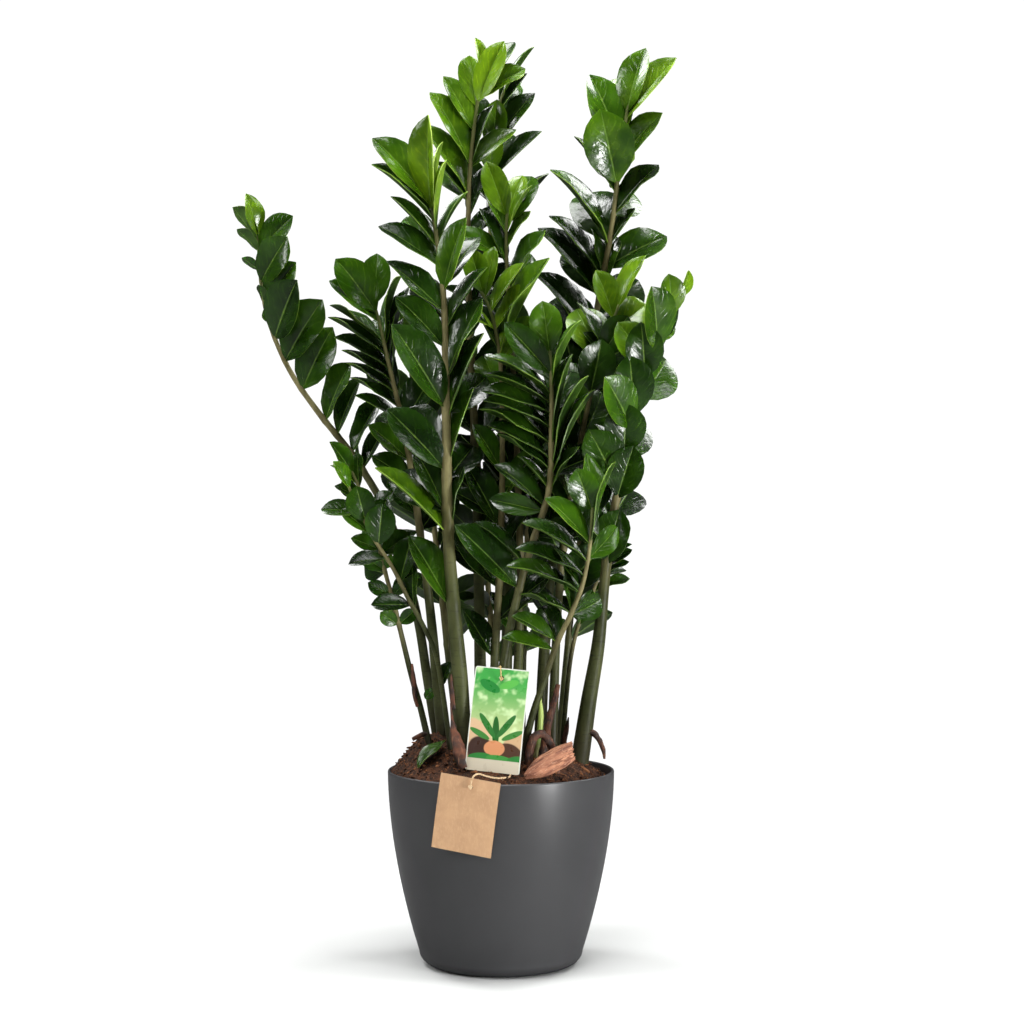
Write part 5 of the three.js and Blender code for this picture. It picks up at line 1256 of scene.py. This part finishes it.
for name, finish, slot, wrinkle in (("young_shoot", rolled_shoot, "shoot", 0.25),
                                    ("dry_stub", husk_fibre, "husk", 1.0)):
    points, radii = SPIKES[name]
    foot = [points[0][0] * 2 - points[1][0], points[0][1] * 2 - points[1][1], points[0][2] - 38]
    piece = withered(name + "_piece", [foot, *points], [radii[0], *radii], wrinkle)
    finish_piece(piece, finish, slot, name)

# ---- Bark chip ----------------------------------------------------------------------------------
# A chip of pine bark leans on the soil in front of the husk: salmon to tan, split into thin fibrous
# layers along its length, with torn ends.

BARK = {"length": 68, "width": 30, "thick": 11, "x": 62, "y": -112, "turn": 14, "tilt": 46,
        "roll": 26}


def rest_on(piece, node):
    """Lowers or raises a piece until its lowest point is level with its node's."""
    lowest = min(vertex.co.z for vertex in piece.data.vertices)
    piece.data.transform(Matrix.Translation((0, 0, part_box(node)[0].z - lowest)))


def placed(piece, tilt, roll, turn, x, y):
    """Tilts a piece about X, then rolls it about Y, turns it about Z and moves it, as in the CAD."""
    spin = (Matrix.Rotation(math.radians(turn), 4, "Z") @ Matrix.Rotation(math.radians(roll), 4, "Y")
            @ Matrix.Rotation(math.radians(tilt), 4, "X"))
    piece.data.transform(Matrix.Translation((x * mm, y * mm, 0)) @ spin)


deselect()
bpy.ops.mesh.primitive_cube_add(size=1)
chip = bpy.context.object
chip.name = "bark_slab"
chip.scale = (BARK["length"] * mm, BARK["width"] * mm, BARK["thick"] * 0.72 * mm)
bpy.ops.object.transform_apply(scale=True)
bpy.ops.object.mode_set(mode="EDIT")
bpy.ops.mesh.select_all(action="SELECT")
bpy.ops.mesh.subdivide(number_cuts=11)
bpy.ops.mesh.subdivide(number_cuts=1)
bpy.ops.object.mode_set(mode="OBJECT")
for vertex in chip.data.vertices:
    x, y, z = (c / mm for c in vertex.co)
    s, t = 2 * x / BARK["length"], 2 * y / BARK["width"]
    # Pointed and torn at the left, broken off on the slant at the right.
    outline = 1 - 0.75 * max(0.0, -s - 0.05) ** 1.5 - 0.3 * max(0.0, s - 0.45)
    torn = 5.5 * noise.noise(Vector((y / 2.6, z / 5, 5.0 if s > 0 else 1.0))) * abs(s) ** 6
    torn += 5 * t * max(0.0, s) ** 4
    layer = noise.noise(Vector((x / 22, y / 3.4, z / 2.2)))
    splinter = noise.noise(Vector((x / 11, y / 1.6, z / 1.5)))
    thin = 1 - 0.55 * abs(s) ** 3 - 0.35 * abs(t) ** 3
    arch = 2.6 * (1 - t * t) - 1.5 * s * s
    vertex.co = Vector((x + torn + 0.8 * layer, y * outline + 1.1 * layer,
                        z * thin + arch + 0.9 * layer * abs(z) / 4 + 0.5 * splinter)) * mm
grain = np.empty(len(chip.data.vertices) * 3, np.float32)
chip.data.vertices.foreach_get("co", grain)
chip.data.attributes.new("grain", "FLOAT_VECTOR", "POINT").data.foreach_set("vector", grain)
smooth(chip, 40)
placed(chip, BARK["tilt"], -BARK["roll"], BARK["turn"], BARK["x"], BARK["y"])
rest_on(chip, "bark_chip")

pine_bark, tree, shader = new_material("pine_bark")
grain = tree.nodes.new("ShaderNodeAttribute")
grain.attribute_name = "grain"
point = grain.outputs["Vector"]
cloud = noise_at(tree, point, 60, 4, 0.6, (0.4, 1, 1))
streak = noise_at(tree, point, 260, 4, 0.65, (0.1, 1, 1))
fleck = noise_at(tree, point, 500, 3, 0.7, (0.3, 1, 1))
tone = mixed(tree, mapped(tree, cloud, 0.32, 0.68), (0.24, 0.085, 0.045), (0.5, 0.23, 0.125))
tone = mixed(tree, mapped(tree, streak, 0.48, 0.62, 0, 0.85), tone, (0.13, 0.04, 0.022))
tone = mixed(tree, mapped(tree, fleck, 0.55, 0.68, 0, 0.65), tone, (0.62, 0.36, 0.23))
surfaced(tree, shader, tone, mapped(tree, cloud, 0.3, 0.7, 0.7, 0.9), streak, 0.9, 0.9)
finish_piece(chip, pine_bark, "bark", "bark_chip")

# ---- Fallen leaflet -----------------------------------------------------------------------------
# One glossy dark leaflet lies on the soil at the front left.

FALLEN = {"base": (-72, -54), "tip": (-108, -84), "slope": -30, "width": 0.52}

rise = math.radians(FALLEN["slope"])
flat = np.array([FALLEN["tip"][0] - FALLEN["base"][0], FALLEN["tip"][1] - FALLEN["base"][1], 0.0])
midrib = unit(flat) * math.cos(rise) + np.array([0, 0, math.sin(rise)])
side = unit(np.cross([0, 0, 1], midrib))
length = float(np.linalg.norm(flat)) / math.cos(rise)
lying = {"base": np.array([*FALLEN["base"], 300.0]), "midrib": midrib, "side": side,
         "normal": np.cross(midrib, side), "length": length, "width": length * FALLEN["width"]}
fallen = scattered("fallen_leaflet", masters[1], [(leaf_matrix(lying), {"age": 0.3, "tint": 0.0})])
rest_on(fallen, "fallen_leaf")
finish_piece(fallen, None, "foliage", "fallen_leaf")
for master in masters:
    bpy.data.objects.remove(master)

# ---- Plant-care card ----------------------------------------------------------------------------
# A card of stiff coated paper, a little curled, that stands in the soil and leans back on the stems.
# It is printed in greens, tans and browns inside a pale border, with a plain cream band below.

CARD = {"width": 72, "height": 132, "thick": 0.7, "corner": 3.2, "x": -11, "y": -121, "turn": -16,
        "lean": -8, "roll": 4, "hole": (0, 13, 3.3), "curl": 1.6, "cuts": 16}


def sheet_of_card(name, size):
    """A card in the X-Z plane with rounded corners and a round hole, its face to -Y, curled."""
    width, height, thick = size["width"] * mm, size["height"] * mm, size["thick"] * mm
    across, below, radius = (c * mm for c in size["hole"])
    deselect()
    bpy.ops.mesh.primitive_cube_add(size=1)
    sheet = bpy.context.object
    sheet.name = name
    sheet.scale = (width, thick, height)
    sheet.location.z = height / 2
    bpy.ops.object.transform_apply(location=True, scale=True)
    bpy.ops.object.mode_set(mode="EDIT")
    bpy.ops.mesh.select_mode(type="EDGE")
    bpy.ops.mesh.select_all(action="DESELECT")
    bpy.ops.object.mode_set(mode="OBJECT")
    for edge in sheet.data.edges:
        ends = [sheet.data.vertices[v].co for v in edge.vertices]
        edge.select = abs(ends[0].y - ends[1].y) > thick / 2
    bpy.ops.object.mode_set(mode="EDIT")
    bpy.ops.mesh.bevel(offset=size["corner"] * mm, segments=5, affect="EDGES")
    bpy.ops.mesh.select_mode(type="VERT")
    bpy.ops.object.mode_set(mode="OBJECT")
    deselect()
    bpy.ops.mesh.primitive_cylinder_add(vertices=24, radius=radius, depth=thick * 6,
                                        location=(across, 0, height - below),
                                        rotation=(math.pi / 2, 0, 0))
    punch = bpy.context.object
    pick(sheet)
    cut = sheet.modifiers.new("hole", "BOOLEAN")
    cut.object = punch
    cut.solver = "EXACT"
    bpy.ops.object.modifier_apply(modifier=cut.name)
    bpy.data.objects.remove(punch)
    bpy.ops.object.mode_set(mode="EDIT")
    for i in range(1, CARD["cuts"]):
        bpy.ops.mesh.select_all(action="SELECT")
        bpy.ops.mesh.bisect(plane_co=(0, 0, height * i / CARD["cuts"]), plane_no=(0, 0, 1))
    bpy.ops.mesh.select_all(action="SELECT")
    bpy.ops.mesh.normals_make_consistent(inside=False)
    bpy.ops.object.mode_set(mode="OBJECT")
    layer = sheet.data.uv_layers.active or sheet.data.uv_layers.new(name="UVMap")
    layer.name = "UVMap"
    for loop in sheet.data.loops:
        place = sheet.data.vertices[loop.vertex_index].co
        layer.data[loop.index].uv = (place.x / width + 0.5, place.z / height)
    for vertex in sheet.data.vertices:
        bent = 2 * vertex.co.z / height - 1
        vertex.co.y += size["curl"] * mm * (bent * bent - 0.5)
    smooth(sheet, 30)
    return sheet


card = sheet_of_card("printed_card", CARD)
placed(card, CARD["lean"], CARD["roll"], CARD["turn"], CARD["x"], CARD["y"])
rest_on(card, "care_card")

# A soft-edged oval in a print: one inside it and nought outside.
oval, entry, leave = node_group(
    "printed_oval", {"Vector": "Vector", "Centre": "Vector", "Half Size": "Vector", "Turn": "Float"},
    {"Mask": "Float"})
away = vector_maths(oval, "SUBTRACT", entry.outputs["Vector"], entry.outputs["Centre"])
spun = oval.nodes.new("ShaderNodeVectorRotate")
spun.rotation_type = "Z_AXIS"
oval.links.new(away, spun.inputs["Vector"])
oval.links.new(entry.outputs["Turn"], spun.inputs["Angle"])
share = vector_maths(oval, "DIVIDE", spun.outputs[0], entry.outputs["Half Size"])
reach = vector_maths(oval, "LENGTH", share)
oval.links.new(mapped(oval, reach, 0.93, 1.03, 1.0, 0.0), leave.inputs["Mask"])

card_print, tree, shader = new_material("card_print")
# The print's own flat space, in mm from the card's lower left corner.
flat_space = add_node(tree, "Mapping")
flat_space.inputs["Scale"].default_value = (CARD["width"], CARD["height"], 0)
tree.links.new(add_node(tree, "UVMap", uv_map="UVMap").outputs[0], flat_space.inputs[0])
flat = flat_space.outputs[0]
printed = axes(tree, flat)
flat_x, flat_y = printed["X"], printed["Y"]
blotch = noise_at(tree, flat, 0.06, 2)
tone = mixed(tree, mapped(tree, flat_y, 30, 120), (0.56, 0.62, 0.3), (0.05, 0.33, 0.06))
tone = mixed(tree, mapped(tree, blotch, 0.5, 0.7, 0, 0.75), tone, (0.66, 0.82, 0.46))
# Each oval: its centre, its half sizes, its turn in degrees and its colour.
OVALS = [
    ((12, 28), (24, 40), 20, (0.62, 0.42, 0.25)), ((64, 26), (20, 28), -15, (0.55, 0.36, 0.2)),
    ((22, 20), (19, 26), 35, (0.05, 0.026, 0.02)), ((55, 18), (22, 20), -30, (0.075, 0.036, 0.022)),
    ((36, 50), (4.6, 21), 4, (0.02, 0.11, 0.02)), ((24, 58), (4.2, 19), 38, (0.03, 0.16, 0.03)),
    ((49, 59), (4.2, 19), -36, (0.03, 0.15, 0.03)), ((15, 47), (3.8, 15), 66, (0.05, 0.2, 0.04)),
    ((58, 48), (3.8, 15), -64, (0.05, 0.2, 0.04)), ((36, 30), (14, 10), 0, (0.6, 0.26, 0.12)),
    ((22, 108), (15, 6.5), -24, (0.02, 0.2, 0.035)), ((47, 112), (13, 5), 20, (0.1, 0.42, 0.07)),
    ((18, 18), (16, 5), 6, (0.03, 0.2, 0.04)), ((44, 17), (18, 5), -4, (0.05, 0.27, 0.05)),
    ((66, 18), (12, 5), 9, (0.03, 0.2, 0.04)),
]
for centre, half, turn, colour in OVALS:
    node = tree.nodes.new("ShaderNodeGroup")
    node.node_tree = oval
    tree.links.new(flat, node.inputs["Vector"])
    node.inputs["Centre"].default_value = (*centre, 0)
    node.inputs["Half Size"].default_value = (*half, 1)
    node.inputs["Turn"].default_value = math.radians(-turn)
    tone = mixed(tree, node.outputs["Mask"], tone, colour)
band = mapped(tree, flat_y, 15.4, 16, 1.0, 0.0)
tone = mixed(tree, band, tone, (0.58, 0.52, 0.4))
# The border, from its inner to its outer edge in mm off the card's own, at the sides and at the top.
BORDER = {"side": (1.5, 1.2), "top": (1.6, 1.3), "colour": (0.68, 0.7, 0.62)}
edge_x = maths(tree, "ABSOLUTE", maths(tree, "SUBTRACT", flat_x, CARD["width"] / 2))
side = mapped(tree, edge_x, *(CARD["width"] / 2 - inset for inset in BORDER["side"]))
top = mapped(tree, flat_y, *(CARD["height"] - inset for inset in BORDER["top"]))
tone = mixed(tree, maths(tree, "MAXIMUM", side, top), tone, BORDER["colour"])
sheen = noise_at(tree, object_point(tree), 90, 3)
surfaced(tree, shader, tone, mapped(tree, sheen, 0.3, 0.7, 0.27, 0.36), sheen, 0.1, 0.4)
shader.inputs["Coat Weight"].default_value = 0.3
shader.inputs["Coat Roughness"].default_value = 0.2

# The back and the cut edges are uncoated white board, a little grubby from the soil below.
card_back, tree, shader = new_material("card_back")
point = object_point(tree)
fibre = noise_at(tree, point, 700, 3, 0.6)
dirt = noise_at(tree, point, 60, 4, 0.7)
low = mapped(tree, axes(tree, point)["Z"], 0.262, 0.292, 0.75, 0.0)
tone = mixed(tree, mapped(tree, fibre, 0.3, 0.7), (0.66, 0.65, 0.6), (0.76, 0.75, 0.71))
tone = mixed(tree, maths(tree, "MULTIPLY", low, mapped(tree, dirt, 0.4, 0.65)), tone,
             (0.2, 0.12, 0.07))
surfaced(tree, shader, tone, 0.7, fibre, 0.3, 0.2)

finish_piece(card, card_print, "card", "care_card")
card.data.materials.append(card_back)
facing = Matrix.Rotation(math.radians(CARD["turn"]), 3, "Z") @ Vector((0, -1, 0))
for polygon in card.data.polygons:
    polygon.material_index = 0 if polygon.normal.dot(facing) > 0.5 else 1

# ---- The card's tie -----------------------------------------------------------------------------
# A length of cream raffia, two strands twisted together, through the hole in the card and round the
# stem behind it, knotted in front.

TIE = {"line": [(0, -2.6, 0.4), (0, 0, 0), (0.8, 4, 0.2), (7, 18, 2), (11.5, 31, 4), (8.5, 41, 6),
                (0.5, 43.5, 8), (-6.5, 37, 10), (-6.5, 24, 12), (-3, 9, 15.6), (-1, 1.4, 17.6),
                (-0.6, -3.4, 13.4), (-0.2, -3.6, 4.6)],
       "radius": 1, "strand": 0.62, "lay": 0.5, "turn": 6.5, "knot": 1.9}
CORD = {"step": 0.7, "loops": 48, "hair": (1.2, 3.2), "hair_radii": [0.09, 0.07, 0.04]}


def twisted_cord(name, points, size, knot, hairs, seed):
    """A two-ply cord along the points, with a knot's turns at its start and loose hairs."""
    path = trace_stem(points)
    total = path[1][-1]
    chance = random.Random(seed)
    lines, widths = [], []
    steps = round(total / CORD["step"])
    for ply in range(2):
        line = []
        for i in range(steps + 1):
            place, heading = stem_at(path, i / steps)
            across = unit(np.cross(heading, [0.31, 0.2, 0.93]))
            other = np.cross(heading, across)
            turn = math.tau * total * i / steps / size["turn"] + math.pi * ply
            line.append(place + size["lay"] * (across * math.cos(turn) + other * math.sin(turn)))
        lines.append(line)
        widths.append([size["strand"] * (0.9 + 0.2 * chance.random()) for _ in line])
    # The knot is a trefoil.
    loops = []
    for i in range(CORD["loops"] + 1):
        t = math.tau * i / CORD["loops"]
        loops.append(np.array(knot) + size["knot"] / 3 * np.array([
            math.sin(t) + 2 * math.sin(2 * t), -0.9 * math.sin(3 * t),
            math.cos(t) - 2 * math.cos(2 * t)]))
    lines.append(loops)
    widths.append([size["strand"] * 1.1] * len(loops))
    for _ in range(hairs):
        place, heading = stem_at(path, chance.random())
        away = unit(np.array([chance.gauss(0, 1) for _ in range(3)]) + heading * 1.2)
        droop = np.array([chance.gauss(0, 0.4) for _ in range(3)])
        long = chance.uniform(*CORD["hair"])
        lines.append([place, place + away * long * 0.5, place + away * long + droop])
        widths.append(CORD["hair_radii"])
    return joined(name, [round_bar("strand", line, radii, 1) for line, radii in zip(lines, widths)])


def cord_fibre(name, dark, light):
    """Dry plant fibre, streaked and a little hairy, in two shades."""
    material, tree, shader = new_material(name)
    point = object_point(tree)
    patch = noise_at(tree, point, 500, 4, 0.65)
    fine = noise_at(tree, point, 2600, 2, 0.6)
    tone = mixed(tree, mapped(tree, patch, 0.32, 0.68), dark, light)
    tone = mixed(tree, mapped(tree, fine, 0.55, 0.8, 0, 0.5), tone, dark)
    surfaced(tree, shader, tone, 0.85, fine, 0.6, 0.15)
    return material


# The line starts from the card's hole: it is brought to where the solid's own cord lies.
tie_line = np.array(TIE["line"], float)
tie_line += np.array(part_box("card_tie")[0]) / mm - tie_line.min(0) + TIE["radius"]
raffia = twisted_cord("raffia_tie", tie_line, TIE, tie_line[0] + [0, 0.4, 2.0], 14, 5)
finish_piece(raffia, cord_fibre("raffia_fibre", (0.42, 0.28, 0.1), (0.74, 0.58, 0.3)), "tie",
             "card_tie")

# ---- Kraft tag ----------------------------------------------------------------------------------
# A square-cornered tag of plain kraft board that hangs on twine over the rim, flat against the pot.

TAG = {"width": 79, "height": 95, "thick": 0.7, "corner": 0.15, "turn": -16.7, "roll": 7.8,
       "middle": 216, "hole": (2, 11, 2.4), "curl": 0.9, "gap": 0.3, "half_thick": 0.45}

tag = sheet_of_card("kraft_card", TAG)
tag.data.transform(Matrix.Translation((0, 0, -TAG["height"] / 2 * mm)))
reach = POT["rim"] + TAG["gap"] + TAG["half_thick"]
turn = math.radians(TAG["turn"])
placed(tag, 0, TAG["roll"], TAG["turn"], reach * math.sin(turn), -reach * math.cos(turn))
tag.data.transform(Matrix.Translation((0, 0, TAG["middle"] * mm)))

kraft_board, tree, shader = new_material("kraft_board")
point = object_point(tree)
mottle = noise_at(tree, point, 45, 4, 0.6)
fibre = noise_at(tree, point, 420, 4, 0.7, (1, 1, 0.4))
fleck = noise_at(tree, point, 900, 2, 0.6, (0.4, 0.4, 1))
tone = mixed(tree, mapped(tree, mottle, 0.3, 0.7), (0.43, 0.25, 0.13), (0.5, 0.3, 0.16))
tone = mixed(tree, mapped(tree, fibre, 0.45, 0.75, 0, 0.5), tone, (0.58, 0.38, 0.22))
tone = mixed(tree, mapped(tree, fleck, 0.68, 0.78, 0, 0.55), tone, (0.27, 0.14, 0.065))
surfaced(tree, shader, tone, mapped(tree, mottle, 0.3, 0.7, 0.72, 0.84), fibre, 0.35, 0.25)
finish_piece(tag, kraft_board, "kraft", "kraft_tag")

# ---- The tag's twine ----------------------------------------------------------------------------
# Thin two-ply jute twine, knotted in the tag's hole. It goes over the rim, under the card and round
# the foot of the stem behind the card.

TWINE = {"line": [(-37.6, -149.2, 252), (-36.2, -150.6, 259), (-33, -149, 266), (-27, -146, 268),
                  (-18, -143, 265), (-6, -139, 262), (6, -133, 261.4), (12, -126, 262.4),
                  (12, -116, 268), (8, -104, 275), (4, -91, 284)],
         "loop": {"height": 296, "radius": 8.8, "start": -60, "step": 48, "rise": 0.4},
         "strand": 0.72, "lay": 0.6, "turn": 5, "knot": 2.4}

loop = TWINE["loop"]
foot = FRONDS[1]["path"]
centre, heading = stem_at(foot, (loop["height"] - foot[0][0][2]) / foot[1][-1])
twine_line = list(TWINE["line"])
for i in range(7):
    turn = math.radians(loop["start"] + loop["step"] * i)
    twine_line.append((centre[0] + loop["radius"] * math.cos(turn),
                       centre[1] + loop["radius"] * math.sin(turn),
                       loop["height"] + i * loop["rise"]))
twine = twisted_cord("jute_twine", twine_line, TWINE, np.array(twine_line[0]) + [0, -0.6, 0], 60, 8)
finish_piece(twine, cord_fibre("jute_fibre", (0.42, 0.26, 0.13), (0.78, 0.6, 0.38)), "twine",
             "tag_twine")
